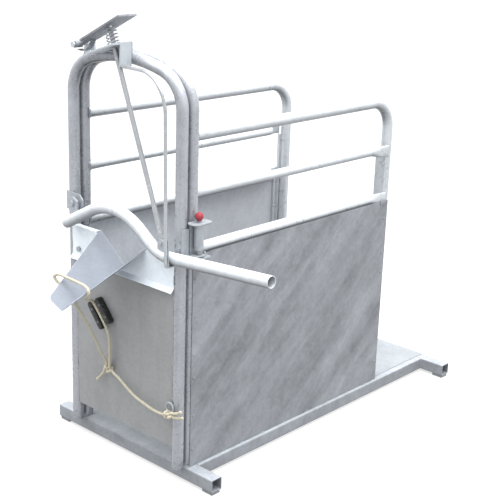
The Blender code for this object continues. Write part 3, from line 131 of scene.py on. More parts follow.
def finishPiece(name, shapes, material, body, stands=(), sharp=38.0, uv=None):
    # arrays to a mesh object at the origin, riding on its body
    points, quads, tris = merged(shapes)
    mesh = bpy.data.meshes.new(name)
    corners = np.concatenate([quads.ravel(), tris.ravel()]).astype(np.int32)
    starts = np.concatenate([np.arange(len(quads)) * 4, len(quads) * 4 + np.arange(len(tris)) * 3])
    mesh.vertices.add(len(points))
    mesh.vertices.foreach_set("co", place(points).ravel().astype(np.float32))
    mesh.loops.add(len(corners))
    mesh.loops.foreach_set("vertex_index", corners)
    mesh.polygons.add(len(starts))
    mesh.polygons.foreach_set("loop_start", starts.astype(np.int32))
    mesh.update(calc_edges=True)
    if uv is not None:
        layer = mesh.uv_layers.new(name="lay")
        layer.data.foreach_set("uv", uv[corners].ravel().astype(np.float32))
    mesh.validate()
    mesh.shade_smooth()
    mesh.set_sharp_from_angle(angle=math.radians(sharp))
    mesh.materials.append(material)
    piece = bpy.data.objects.new(name, mesh)
    bpy.context.scene.collection.objects.link(piece)
    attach(piece, body)
    if stands:
        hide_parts(*stands)
    return piece


def framesAlong(path):
    # tangent, and a normal carried along the path with the least turning
    tangent = np.gradient(path, axis=0)
    tangent /= np.linalg.norm(tangent, axis=1)[:, None]
    seed = np.eye(3)[np.argmin(np.abs(tangent[0]))]
    normal = np.cross(tangent[0], seed)
    normals = []
    for direction in tangent:
        normal = normal - direction * normal.dot(direction)
        normal = normal / np.linalg.norm(normal)
        normals.append(normal)
    normals = np.array(normals)
    return tangent, normals, np.cross(tangent, normals)


def sweep(path, radii, sides=28):
    # rings carried along a path: each point is the path point plus a unit circle times the radius
    path = np.asarray(path, float)
    radii = np.broadcast_to(np.asarray(radii, float), (len(path),))
    ring = circleOf(sides)[None]
    _, normal, across = framesAlong(path)
    spread = radii[:, None, None]
    return path[:, None] + spread * (ring[:, :, :1] * normal[:, None] + ring[:, :, 1:] * across[:, None])


rimEase = 0.3  # where the middle ring of a rounded rim sits, as a share of the rim


def pipe(path, radius, sides=28, rim=0.0008):
    # round bar along a path, its end rims rounded over
    path = np.asarray(path, float)
    startWay = (path[1] - path[0]) / np.linalg.norm(path[1] - path[0])
    endWay = (path[-1] - path[-2]) / np.linalg.norm(path[-1] - path[-2])
    first = [path[0], path[0] + startWay * rimEase * rim, path[0] + startWay * rim]
    last = [path[-1] - endWay * rim, path[-1] - endWay * rimEase * rim, path[-1]]
    path = np.concatenate([first, path[1:-1], last])
    radii = np.full(len(path), radius)
    radii[[0, -1]] -= rim
    radii[[1, -2]] -= rimEase * rim
    return loft(sweep(path, radii, sides))


def turned(start, end, profile, sides=28):
    # lathe shape on the line from start to end: profile rows are distance along the line and radius
    start, end = np.asarray(start, float), np.asarray(end, float)
    way = (end - start) / np.linalg.norm(end - start)
    profile = np.asarray(profile, float)
    seed = np.eye(3)[np.argmin(np.abs(way))]
    normal = np.cross(way, seed)
    normal /= np.linalg.norm(normal)
    across = np.cross(way, normal)
    ring = circleOf(sides)[None]
    middle = start + profile[:, :1] * way
    spread = profile[:, 1][:, None, None]
    return loft(middle[:, None] + spread * (ring[:, :, :1] * normal + ring[:, :, 1:] * across))


def slabOf(outer, inner):
    # closed sheet between two point grids: each row's ring runs along the outer face and back on the inner
    return loft(np.concatenate([outer, inner[:, ::-1]], axis=1))


def pressed(outline, low, high, origin, across, upward, edge=0.0008):
    # flat part pressed from an outline: rings step in by the edge radius at both faces, along the normal
    outline = np.asarray(outline, float)
    across, upward = (np.asarray(v, float) / np.linalg.norm(v) for v in (across, upward))
    normal = np.cross(across, upward)
    before, after = np.roll(outline, 1, axis=0), np.roll(outline, -1, axis=0)
    side = after - before
    inward = np.stack([-side[:, 1], side[:, 0]], -1)
    inward /= np.maximum(np.linalg.norm(inward, axis=1), 1e-9)[:, None]
    turning = np.sum(outline[:, 0] * after[:, 1] - after[:, 0] * outline[:, 1])
    inward *= np.sign(turning)
    ease = rimEase * edge
    steps = [(low, edge), (low + ease, ease), (low + edge, 0.0),
             (high - edge, 0.0), (high - ease, ease), (high, edge)]
    rings = []
    for height, inset in steps:
        flat = outline + inward * inset
        rings.append(np.asarray(origin) + flat[:, :1] * across + flat[:, 1:] * upward + height * normal)
    return loft(np.array(rings))


def walkedLength(path):
    # distance walked along the path up to each of its points
    return np.concatenate([[0.0], np.cumsum(np.linalg.norm(np.diff(path, axis=0), axis=1))])


def splinePath(knots, spacing):
    # even points on a smooth curve through the knots: four-point cubic blend, then resampled by its length
    knots = np.asarray(knots, float)
    padded = np.concatenate([knots[:1], knots, knots[-1:]])
    share = np.linspace(0.0, 1.0, 24, endpoint=False)[:, None]
    before, start, end, after = (padded[k:len(padded) - 3 + k][:, None] for k in range(4))
    fine = 0.5 * (2.0 * start + (end - before) * share
                  + (2.0 * before - 5.0 * start + 4.0 * end - after) * share ** 2
                  + (3.0 * start - before - 3.0 * end + after) * share ** 3)
    fine = np.concatenate([fine.reshape(-1, 3), knots[-1:]])
    walked = walkedLength(fine)
    even = np.linspace(0.0, walked[-1], max(4, int(round(walked[-1] / spacing)) + 1))
    return np.stack([np.interp(even, walked, fine[:, k]) for k in range(3)], -1)


def arcPoints(centre, radius, start, end, count, y):
    # arc in an upright plane across the crate
    angle = np.linspace(start, end, count)
    x, z = centre[0] + radius * np.cos(angle), centre[1] + radius * np.sin(angle)
    return np.stack([x, np.full(count, y), z], -1)


def roundedLine(corners, radii, count=14):
    # straight runs joined by arcs at the inner corners
    corners = np.asarray(corners, float)
    parts = [corners[:1]]
    for before, corner, after, radius in zip(corners, corners[1:], corners[2:], radii):
        arriving = (corner - before) / np.linalg.norm(corner - before)
        leaving = (after - corner) / np.linalg.norm(after - corner)
        bend = math.acos(float(arriving.dot(leaving)))
        start = corner - arriving * radius * math.tan(0.5 * bend)
        inward = leaving - arriving * arriving.dot(leaving)
        inward /= np.linalg.norm(inward)
        angle = np.linspace(0.0, bend, count)[:, None]
        parts.append(start + inward * radius * (1.0 - np.cos(angle)) + arriving * radius * np.sin(angle))
    parts.append(corners[-1:])
    return np.concatenate(parts)


# finishes
def node(tree, kind, inputs=None, **settings):
    # a shader node whose inputs are values or links
    made = tree.nodes.new(kind)
    for key, value in settings.items():
        setattr(made, key, value)
    for key, value in (inputs or {}).items():
        if isinstance(value, bpy.types.NodeSocket):
            tree.links.new(value, made.inputs[key])
        else:
            made.inputs[key].default_value = value
    return made


specularLevel = 0.2  # weak mirror coat on every surface, as dull zinc, worn nylon and fibre have


def blank(name, roughness, metallic):
    # new Principled surface and its node tree
    material = bpy.data.materials.new(name)
    material.use_nodes = True
    shader = material.node_tree.nodes["Principled BSDF"]
    shader.inputs["Roughness"].default_value = roughness
    shader.inputs["Metallic"].default_value = metallic
    shader.inputs["Specular IOR Level"].default_value = specularLevel
    return material, material.node_tree, shader


def swing(tree, value, amount, base=0.0):
    # amount times (value less one half), plus a base value or socket
    spread = node(tree, "ShaderNodeMath", {0: value, 1: -0.5}, operation="ADD").outputs[0]
    values = {0: spread, 1: amount, 2: base}
    return node(tree, "ShaderNodeMath", values, operation="MULTIPLY_ADD").outputs[0]


# galvanised finishes; the pair that scales the tone by facing is painted light and shade, its first level
# for faces that look down and its second for faces that look up
zincFinish = {
    "tube": {"tone": (0.224, 0.232, 0.249), "roughness": 0.30, "metallic": 0.35,
             "spangle": 70.0, "spangleDepth": 0.08, "cloud": 9.0, "cloudDepth": 0.18,
             "runs": 0.42, "bump": 0.02, "paintedTopLight": (0.60, 2.05)},
    # a paler copy of the tube finish, about twice as light: painted light on the rails, side frames, neck
    # bar and sheet bars
    "litTube": {"tone": (0.480, 0.504, 0.528), "roughness": 0.34, "metallic": 0.30,
                   "spangle": 70.0, "spangleDepth": 0.08, "cloud": 9.0, "cloudDepth": 0.12,
                   "runs": 0.10, "bump": 0.02, "paintedTopLight": (0.28, 1.60)},
    "sheet": {"tone": (0.242, 0.253, 0.272), "roughness": 0.46, "metallic": 0.15,
              "spangle": 95.0, "spangleDepth": 0.12, "cloud": 7.0, "cloudDepth": 0.34,
              "runs": 0.05, "bump": 0.06, "sweeps": 0.68},
    # a paler copy of the sheet finish, about twice as light: painted light on the left sheet, seen from
    # inside the crate; its fade is painted light toward the gate end and painted shade toward the rear
    "litInnerSheet": {"tone": (0.505, 0.526, 0.561), "roughness": 0.42, "metallic": 0.15,
                   "spangle": 95.0, "spangleDepth": 0.10, "cloud": 7.0, "cloudDepth": 0.16,
                   "runs": 0.05, "bump": 0.06, "fade": (1.30, 0.84)},
    "gateSheet": {"tone": (0.280, 0.285, 0.289), "roughness": 0.50, "metallic": 0.15,
                  "spangle": 95.0, "spangleDepth": 0.10, "cloud": 5.0, "cloudDepth": 0.16,
                  "runs": 0.10, "bump": 0.05},
    # toned about three times as pale as the gate sheet: painted light on the upper gate plate
    "yoke": {"tone": (0.763, 0.818, 0.874), "roughness": 0.40, "metallic": 0.10,
             "spangle": 90.0, "spangleDepth": 0.06, "cloud": 7.0, "cloudDepth": 0.08,
             "runs": 0.04, "bump": 0.05, "rim": 1.25},
    # its rim, like the yoke's, is a painted highlight along the edges
    "scoop": {"tone": (0.239, 0.260, 0.298), "roughness": 0.62, "metallic": 0.05,
              "spangle": 90.0, "spangleDepth": 0.07, "cloud": 7.0, "cloudDepth": 0.12,
              "runs": 0.05, "bump": 0.05, "rim": 2.0},
    "beam": {"tone": (0.274, 0.289, 0.311), "roughness": 0.50, "metallic": 0.15,
             "spangle": 80.0, "spangleDepth": 0.12, "cloud": 8.0, "cloudDepth": 0.34,
             "runs": 0.10, "bump": 0.10, "paintedTopLight": (0.35, 1.50)},
    "fitting": {"tone": (0.360, 0.382, 0.410), "roughness": 0.36, "metallic": 0.25,
                "spangle": 110.0, "spangleDepth": 0.10, "cloud": 24.0, "cloudDepth": 0.24,
                "runs": 0.06, "bump": 0.12},
    "lock": {"tone": (0.440, 0.471, 0.502), "roughness": 0.50, "metallic": 0.10,
             "spangle": 110.0, "spangleDepth": 0.06, "cloud": 24.0, "cloudDepth": 0.12,
             "runs": 0.04, "bump": 0.10},
    "deck": {"tone": (0.338, 0.356, 0.378), "roughness": 0.50, "metallic": 0.15,
             "spangle": 95.0, "spangleDepth": 0.12, "cloud": 7.0, "cloudDepth": 0.24,
             "runs": 0.0, "bump": 0.06},
    "rod": {"tone": (0.384, 0.397, 0.415), "roughness": 0.20, "metallic": 0.55,
            "spangle": 110.0, "spangleDepth": 0.06, "cloud": 24.0, "cloudDepth": 0.12,
            "runs": 0.10, "bump": 0.06},
    "weld": {"tone": (0.354, 0.367, 0.388), "roughness": 0.48, "metallic": 0.25,
             "spangle": 260.0, "spangleDepth": 0.16, "cloud": 60.0, "cloudDepth": 0.40,
             "runs": 0.0, "bump": 0.35},
}


zincPattern = {
    "cloudDetail": 5.0,
    "cloudRoughness": 0.62,
    "cloudWarp": 0.3,
    "runStretch": (26.0, 26.0, 1.6),
    "fineScale": 420.0,
    "fineDepth": 0.10,
    "blotchScale": 3.1,
    "blotchWarp": 1.1,
    "sweepTurn": (0.72, 0.0, 0.0),
    "sweepStretch": (1.0, 1.0, 0.17),
    "sweepScale": 1.9,
    "sweepRoughness": 0.6,
    "paintedTopLightRange": (-0.9, 0.7),
    "fadeRange": (-0.45, 0.25),
    "roughCloud": 0.22,
    "roughGrain": 0.12,
    "reliefFine": 0.25,
    "reliefCloud": 0.3,
    "reliefDepth": 0.002,
    "rimRadius": 0.0035,
    "rimRange": (0.995, 0.90),
}


def noise(tree, spot, scale, detail=3.0, **inputs):
    # grey noise of the given scale
    values = {"Vector": spot, "Scale": scale, "Detail": detail, **inputs}
    return node(tree, "ShaderNodeTexNoise", values).outputs["Fac"]


def ramp(tree, value, span, ends):
    # value over the span mapped straight to the two ends, and held there beyond it
    values = {0: value, 1: span[0], 2: span[1], 3: ends[0], 4: ends[1]}
    return node(tree, "ShaderNodeMapRange", values).outputs[0]


def times(tree, value, factor):
    # product of two grey levels
    return node(tree, "ShaderNodeMath", {0: value, 1: factor}, operation="MULTIPLY").outputs[0]


def scaled(tree, colour, level):
    # colour times a grey level
    return node(tree, "ShaderNodeVectorMath", {0: colour, "Scale": level}, operation="SCALE").outputs[0]


def zincSurface(name, look):
    # zinc coat: crystals from cells, clouds and blotches from noise, runs from stretched noise, and a fine
    # grain that also gives the relief; sweeps are slanted wipes. The rest is painted light and shade: fade
    # lifts the tone toward the gate end and darkens it toward the rear, rim is a painted highlight at
    # edges, and the facing level is painted light on faces that look up and painted shade on those that
    # look down
    material, tree, shader = blank(name, look["roughness"], look["metallic"])
    spot = node(tree, "ShaderNodeTexCoord").outputs["Object"]
    cells = node(tree, "ShaderNodeTexVoronoi", {"Vector": spot, "Scale": look["spangle"]})
    grain = node(tree, "ShaderNodeSeparateColor", {0: cells.outputs["Color"]}).outputs[0]
    cloud = noise(tree, spot, look["cloud"], zincPattern["cloudDetail"],
                  Roughness=zincPattern["cloudRoughness"], Distortion=zincPattern["cloudWarp"])
    stretched = node(tree, "ShaderNodeMapping", {"Vector": spot, "Scale": zincPattern["runStretch"]})
    runs = noise(tree, stretched.outputs[0], 1.0)
    fine = noise(tree, spot, zincPattern["fineScale"])
    blotch = noise(tree, spot, zincPattern["blotchScale"] * look["cloud"],
                   Distortion=zincPattern["blotchWarp"])
    level = swing(tree, grain, look["spangleDepth"], 1.0)
    level = swing(tree, cloud, 2.0 * look["cloudDepth"], level)
    level = swing(tree, runs, 2.0 * look["runs"], level)
    level = swing(tree, blotch, look["cloudDepth"], level)
    level = swing(tree, fine, zincPattern["fineDepth"], level)
    if "sweeps" in look:
        slanted = node(tree, "ShaderNodeMapping", {"Vector": spot, "Rotation": zincPattern["sweepTurn"],
                                                   "Scale": zincPattern["sweepStretch"]},
                       vector_type="TEXTURE").outputs[0]
        sweeps = noise(tree, slanted, zincPattern["sweepScale"], 5.0,
                       Roughness=zincPattern["sweepRoughness"])
        level = swing(tree, sweeps, 2.0 * look["sweeps"], level)
    # painted light and shade: faces that look up are lifted, faces that look down are darkened
    if "paintedTopLight" in look:
        facing = node(tree, "ShaderNodeNewGeometry").outputs["Normal"]
        upward = node(tree, "ShaderNodeSeparateXYZ", {0: facing}).outputs[2]
        level = times(tree, level, ramp(tree, upward, zincPattern["paintedTopLightRange"], look["paintedTopLight"]))
    # painted light and shade: the tone lifted toward the gate end and darkened toward the rear
    if "fade" in look:
        depth = node(tree, "ShaderNodeSeparateXYZ", {0: spot}).outputs[1]
        level = times(tree, level, ramp(tree, depth, zincPattern["fadeRange"], look["fade"]))
    colour = scaled(tree, look["tone"], level)
    rough = swing(tree, cloud, zincPattern["roughCloud"], look["roughness"])
    rough = swing(tree, grain, zincPattern["roughGrain"], rough)
    tree.links.new(rough, shader.inputs["Roughness"])
    relief = swing(tree, fine, zincPattern["reliefFine"])
    relief = swing(tree, cloud, zincPattern["reliefCloud"], relief)
    bump = node(tree, "ShaderNodeBump", {"Height": relief, "Strength": look["bump"],
                                         "Distance": zincPattern["reliefDepth"]})
    tree.links.new(bump.outputs[0], shader.inputs["Normal"])
    # painted highlight: the tone lifted along edges, where a rounded normal parts from the flat one
    if "rim" in look:
        rounded = node(tree, "ShaderNodeBevel", {"Radius": zincPattern["rimRadius"]}, samples=4).outputs[0]
        flat = node(tree, "ShaderNodeNewGeometry").outputs["Normal"]
        match = node(tree, "ShaderNodeVectorMath", {0: rounded, 1: flat}, operation="DOT_PRODUCT")
        edge = ramp(tree, match.outputs["Value"], zincPattern["rimRange"], (1.0, look["rim"]))
        colour = scaled(tree, colour, edge)
    tree.links.new(colour, shader.inputs["Base Color"])
    return material


galvanised = {key: zincSurface("galvanised " + key, look) for key, look in zincFinish.items()}


ropeLook = {
    "fibre": (0.52, 0.48, 0.38),
    "groove": (0.29, 0.25, 0.17),
    "roughness": 0.88,
    "sheen": 0.15,
    "streakStretch": (60.0, 3.0, 1.0),
    "streakScale": 4.0,
    "streakDepth": 0.45,
    "dirtScale": 22.0,
    "dirtDepth": 0.5,
    "grooveRange": (0.0, 0.35),
    "grooveEnds": (0.25, 1.0),
    "bump": 0.5,
    "bumpDepth": 0.0008,
}


def ropeSurface():
    # cream fibre: fine streaks that follow the lay, darker in the grooves between strands
    material, tree, shader = blank("cream rope", ropeLook["roughness"], 0.0)
    spot = node(tree, "ShaderNodeUVMap", uv_map="lay").outputs[0]
    along = node(tree, "ShaderNodeMapping", {"Vector": spot, "Scale": ropeLook["streakStretch"]}).outputs[0]
    fibres = noise(tree, along, ropeLook["streakScale"], 4.0)
    turnShare = node(tree, "ShaderNodeSeparateXYZ", {0: spot}).outputs[0]
    strand = times(tree, turnShare, 3.0)
    strand = node(tree, "ShaderNodeMath", {0: strand, 1: 1.0}, operation="PINGPONG").outputs[0]
    dirt = noise(tree, node(tree, "ShaderNodeTexCoord").outputs["Object"], ropeLook["dirtScale"])
    mix = ramp(tree, strand, ropeLook["grooveRange"], ropeLook["grooveEnds"])
    mix = swing(tree, fibres, ropeLook["streakDepth"], mix)
    mix = swing(tree, dirt, ropeLook["dirtDepth"], mix)
    groove, fibre = (*ropeLook["groove"], 1.0), (*ropeLook["fibre"], 1.0)
    blend = node(tree, "ShaderNodeMix", {0: mix, 6: groove, 7: fibre}, data_type="RGBA")
    tree.links.new(blend.outputs[2], shader.inputs["Base Color"])
    bump = node(tree, "ShaderNodeBump", {"Height": fibres, "Strength": ropeLook["bump"],
                                         "Distance": ropeLook["bumpDepth"]})
    tree.links.new(bump.outputs[0], shader.inputs["Normal"])
    shader.inputs["Sheen Weight"].default_value = ropeLook["sheen"]
    return material


mouldedLook = {
    "nylon": {"tone": (0.022, 0.023, 0.022), "roughness": 0.42, "grain": 900.0, "wear": 0.35},
    "knob": {"tone": (0.31, 0.045, 0.058), "roughness": 0.26, "grain": 1400.0, "wear": 0.10},
    "cloudScale": 45.0,
    "cloudDepth": 0.5,
    "scuffScale": 160.0,
    "scuffWarp": 1.2,
    "scuffRange": (0.56, 0.74),
    "scuffTone": (0.30, 0.30, 0.30, 1.0),
    "scuffRoughness": 0.5,
    "bump": 0.12,
    "bumpDepth": 0.0006,
}


def mouldedSurface(name, look):
    # moulded plastic: faint cloud of tone, fine grain, scuffs that lift the tone and the roughness
    material, tree, shader = blank(name, look["roughness"], 0.0)
    spot = node(tree, "ShaderNodeTexCoord").outputs["Object"]
    cloud = noise(tree, spot, mouldedLook["cloudScale"], 4.0)
    scuff = noise(tree, spot, mouldedLook["scuffScale"], 6.0, Distortion=mouldedLook["scuffWarp"])
    scuff = ramp(tree, scuff, mouldedLook["scuffRange"], (0.0, look["wear"]))
    colour = scaled(tree, look["tone"], swing(tree, cloud, mouldedLook["cloudDepth"], 1.0))
    worn = node(tree, "ShaderNodeMix", {0: scuff, 6: colour, 7: mouldedLook["scuffTone"]}, data_type="RGBA")
    tree.links.new(worn.outputs[2], shader.inputs["Base Color"])
    # swing takes off half the scuff's weight, which the base value gives back
    scuffWeight = mouldedLook["scuffRoughness"]
    rough = swing(tree, scuff, scuffWeight, look["roughness"] + 0.5 * scuffWeight)
    tree.links.new(rough, shader.inputs["Roughness"])
    grain = noise(tree, spot, look["grain"], 2.0)
    bump = node(tree, "ShaderNodeBump", {"Height": grain, "Strength": mouldedLook["bump"],
                                         "Distance": mouldedLook["bumpDepth"]})
    tree.links.new(bump.outputs[0], shader.inputs["Normal"])
    return material


creamRope = ropeSurface()
blackNylon = mouldedSurface("black nylon", mouldedLook["nylon"])
redKnob = mouldedSurface("red moulding", mouldedLook["knob"])
print("stage: finishes ready")

# rope
ropeSize = {
    "radius": 0.0055,
    "lay": 0.034,
    "strandDepth": 0.17,
    "strandRound": 0.75,
    "step": 0.0024,
    "sides": 30,
    "fray": (0.012, 1.25),
    "endShare": 0.6,
}
nooseKnots = [(-0.0575, -0.063, 0.352), (-0.0570, -0.063, 0.392), (-0.056, -0.063, 0.440),
              (-0.060, -0.063, 0.482), (-0.075, -0.063, 0.513), (-0.0955, -0.0635, 0.5395),
              (-0.119, -0.064, 0.5665), (-0.139, -0.067, 0.5905), (-0.140, -0.079, 0.606),
              (-0.112, -0.106, 0.620), (-0.060, -0.154, 0.646), (-0.008, -0.202, 0.673),
              (0.038, -0.240, 0.697), (0.062, -0.258, 0.713), (0.082, -0.270, 0.734),
              (0.078, -0.270, 0.750), (0.050, -0.262, 0.754), (0.000, -0.258, 0.755),
              (-0.050, -0.262, 0.760), (-0.082, -0.268, 0.764), (-0.099, -0.274, 0.754),
              (-0.093, -0.270, 0.738), (-0.068, -0.258, 0.716), (-0.050, -0.238, 0.676),
              (-0.055, -0.190, 0.600), (-0.064, -0.135, 0.510), (-0.070, -0.090, 0.420),
              (-0.0710, -0.068, 0.380), (-0.0705, -0.063, 0.352)]
leadKnots = [(0.272, -0.0745, 0.286), (0.230, -0.069, 0.274), (0.180, -0.065, 0.272),
             (0.130, -0.063, 0.279), (0.080, -0.063, 0.291), (0.035, -0.063, 0.312),
             (-0.005, -0.063, 0.333), (-0.040, -0.063, 0.346), (-0.062, -0.063, 0.352)]
slipTail = [(-0.066, -0.063, 0.350), (-0.086, -0.064, 0.334), (-0.104, -0.064, 0.312),
            (-0.128, -0.064, 0.288)]
ringTails = [[(0.280, -0.076, 0.295), (0.305, -0.077, 0.303), (0.325, -0.078, 0.311),
              (0.340, -0.078, 0.322)],
             [(0.282, -0.076, 0.284), (0.305, -0.076, 0.287), (0.328, -0.075, 0.293),
              (0.346, -0.075, 0.299)]]


def ropeSkin(path, radius, frayed=False):
    # three-strand rope: the radius dips between strands, and the dips turn once round the path per lay
    sides = ropeSize["sides"]
    angle = np.linspace(0.0, 2.0 * np.pi, sides, endpoint=False)
    walked = walkedLength(path)
    phase = angle[None] - 2.0 * np.pi * walked[:, None] / ropeSize["lay"]
    bulge = np.abs(np.cos(1.5 * phase)) ** ropeSize["strandRound"]
    size = radius * (1.0 - ropeSize["strandDepth"] * (1.0 - bulge))
    if frayed:
        stretch, spread = ropeSize["fray"]
        size = size * np.interp(walked, [walked[-1] - stretch, walked[-1]], [1.0, spread])[:, None]
    size[0] *= ropeSize["endShare"]
    size[-1] *= ropeSize["endShare"]
    _, normal, across = framesAlong(path)
    ring = circleOf(sides)[None]
    around = ring[:, :, :1] * normal[:, None] + ring[:, :, 1:] * across[:, None]
    rings = path[:, None] + size[:, :, None] * around
    turns = (phase / (2.0 * np.pi)) % 1.0 * 2.0
    lays = np.broadcast_to(walked[:, None] / ropeSize["lay"], phase.shape)
    uv = np.stack([turns, lays], -1).reshape(-1, 2)
    uv = np.concatenate([uv, [[0.5, 0.0], [0.5, walked[-1] / ropeSize["lay"]]]])
    return loft(rings), uv


def ropePiece(name, skins, stands):
    # rope skins share one mesh, with the lay kept as its UV map
    uv = np.concatenate([skin[1] for skin in skins])
    return finishPiece(name, [skin[0] for skin in skins], creamRope, "gate", stands, 60.0, uv)


knotSize = {
    "radius": 0.0056,
    "inset": 0.0046,
    "points": 150,
    "turns": 0.97,
    "slip": {"centre": (-0.064, -0.063, 0.352), "size": (0.0195, 0.0135, 0.0165), "tilt": 0.5},
    "ring": {"centre": (0.276, -0.0750, 0.288), "size": (0.0200, 0.0140, 0.0175), "tilt": 0.2},
}


def knotSkin(knot):
    # overhand tangle: three lobes round an axis, in and out of the middle plane once per lobe
    t = np.linspace(0.0, 2.0 * np.pi * knotSize["turns"], knotSize["points"])
    line = np.stack([np.sin(t) + 1.6 * np.sin(2.0 * t), np.cos(t) - 1.6 * np.cos(2.0 * t),
                     -1.1 * np.sin(3.0 * t)], -1)
    line = line / np.abs(line).max(axis=0) * (np.asarray(knot["size"]) - knotSize["inset"])
    cos, sin = math.cos(knot["tilt"]), math.sin(knot["tilt"])
    turn = np.array([[cos, 0.0, sin], [0.0, 1.0, 0.0], [-sin, 0.0, cos]])
    return ropeSkin(np.asarray(knot["centre"]) + line[:, [0, 2, 1]] @ turn.T, knotSize["radius"])


def tailSkin(knots):
    # free end of the rope, frayed at its tip
    return ropeSkin(splinePath(knots, ropeSize["step"]), ropeSize["radius"], True)


def makeRopes():
    # noose, lead, and the two knots with their free ends
    noosePath = splinePath(nooseKnots, ropeSize["step"])
    leadPath = splinePath(leadKnots, ropeSize["step"])
    slipKnot = ropePiece("slipKnot", [knotSkin(knotSize["slip"]), tailSkin(slipTail)], ["slip_knot"])
    ringSkins = [knotSkin(knotSize["ring"])] + [tailSkin(tail) for tail in ringTails]
    ringKnot = ropePiece("ringKnot", ringSkins, ["ring_knot"])
    lead = ropePiece("leadRope", [ropeSkin(leadPath, ropeSize["radius"])], ["rope_lead"])
    noose = ropePiece("nooseRope", [ropeSkin(noosePath, ropeSize["radius"])], ["rope_noose"])


makeRopes()

# tubes
hoopSize = {
    "halfWidth": 0.280,
    "shoulder": 0.130,
    "crown": 0.675,
    "top": 1.507,
    "radius": 0.021,
    "rearY": 0.015,
    "gateY": -0.033,
    "rearFoot": 0.0626,
    "gateFoot": 0.0668,
    "sides": 36,
}
railSize = {
    "x": 0.270,
    "topZ": 1.272,
    "midZ": 1.074,
    "lowZ": 0.873,
    "bend": 0.110,
    "startY": 0.022,
    "postY": 1.137,
    "postFoot": 0.0626,
    "midRadius": 0.01685,
    "lowRadius": 0.021,
    "tubeStart": 0.024,
    "frontY": 0.0363,
    "endY": 1.119,
    "pressLength": 0.095,
    "pressFade": 0.053,
    "pinchLength": 0.045,
    "pinchIn": 0.22,
    "pinchUp": 0.10,
    "pressUp": 0.30,
    "cornering": 0.75,
    "rim": 0.001,
    "flatHalf": 0.0042,
    "gap": 0.0003,
    "sides": 30,
}
sheetSize = {
    "inner": 0.3015,
    "thick": 0.002,
    "front": 0.005,
    "rear": 1.129,
    "bottom": 0.0623,
    "top": 0.8615,
    "buckle": 0.0008,
    "liftFrom": (0.838, 0.060),
    "liftOver": (0.020, 0.030),
    "lift": 0.0048,
    "frontRivets": (0.018, (0.130, 0.263, 0.408, 0.497, 0.640, 0.780)),
    "rearRivets": (1.110, (0.150, 0.330, 0.498, 0.558, 0.643, 0.790)),
    "rivet": [(0.0, 0.0062), (0.0008, 0.0061), (0.0018, 0.0052), (0.0026, 0.0034), (0.0029, 0.0012)],
    "tab": [(1.076, 0.8495), (1.114, 0.8495), (1.114, 0.8695), (1.076, 0.8695)],
    "skin": 0.0002,
}
gateSheetSize = {
    "half": 0.2612,
    "low": 0.145,
    "high": 0.745,
    "faceY": -0.0432,
    "thick": 0.0016,
    "buckle": 0.0006,
    "foldY": -0.0440,
    "foldZ": 0.1462,
    "foldRadius": 0.0011,
}


def hoopLine(y, foot):
    # leg, shoulder, crown, shoulder, leg
    crownZ = hoopSize["top"] - hoopSize["crown"]
    out = hoopSize["halfWidth"] - hoopSize["shoulder"]
    lean = math.asin(out / (hoopSize["crown"] - hoopSize["shoulder"]))
    shoulderZ = crownZ + (hoopSize["crown"] - hoopSize["shoulder"]) * math.cos(lean)
    left = arcPoints((-out, shoulderZ), hoopSize["shoulder"], math.pi, 0.5 * math.pi + lean, 18, y)
    crown = arcPoints((0.0, crownZ), hoopSize["crown"], 0.5 * math.pi + lean, 0.5 * math.pi - lean, 22, y)
    right = arcPoints((out, shoulderZ), hoopSize["shoulder"], 0.5 * math.pi - lean, 0.0, 18, y)
    ends = np.array([[-hoopSize["halfWidth"], y, foot], [hoopSize["halfWidth"], y, foot]])
    return np.concatenate([ends[:1], left, crown[1:-1], right, ends[1:]])


def straightRuns(line, step=0.05):
    # adds points on long straight runs, so that the skin stays even
    parts = []
    for start, end in zip(line, line[1:]):
        count = max(1, int(np.linalg.norm(end - start) / step))
        parts.append(start + (end - start) * np.linspace(0.0, 1.0, count, endpoint=False)[:, None])
    return np.concatenate(parts + [line[-1:]])


def smooth(share):
    # eases in and out between zero and one
    return share ** 2 * (3.0 - 2.0 * share)


def railSkin(side, z, radius):
    # rail pressed flat at its rear end: the ring's width falls and its height grows along the last stretch,
    # and its front end is pinched a little where it meets the hoop
    size = railSize
    end, pressLength = size["endY"], size["pressLength"]
    y = np.concatenate([np.linspace(size["tubeStart"], size["frontY"] + 0.06, 6),
                        np.linspace(0.15, end - pressLength, 14),
                        np.linspace(end - 0.090, end - 0.040, 12), [end - 0.0015, end]])
    press = smooth(np.clip((y - end + pressLength) / size["pressFade"], 0.0, 1.0))
    pinch = np.clip((size["frontY"] + size["pinchLength"] - y) / size["pinchLength"], 0.0, 1.0)
    flatX = size["x"] + hoopSize["radius"] + size["gap"] + size["flatHalf"]
    wide = radius * (1.0 - press) * (1.0 - size["pinchIn"] * pinch) + press * size["flatHalf"]
    tall = radius * (1.0 + size["pressUp"] * press + size["pinchUp"] * pinch)
    wide[-1] -= size["rim"]
    tall[-1] -= size["rim"]
    middle = size["x"] + (flatX - size["x"]) * press
    ring = circleOf(size["sides"])
    square = np.sign(ring) * np.abs(ring) ** size["cornering"]
    share = press[:, None, None]
    shape = ring[None] * (1.0 - share) + square[None] * share
    rings = np.stack([side * (middle[:, None] + wide[:, None] * shape[:, :, 0]),
                      np.broadcast_to(y[:, None], (len(y), size["sides"])),
                      z + tall[:, None] * shape[:, :, 1]], -1)
    return loft(rings)


def tubePiece(name, shape, finish, body, stands):
    # one tube of the frame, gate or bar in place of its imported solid
    finishPiece(name, [shape], galvanised[finish], body, [stands])


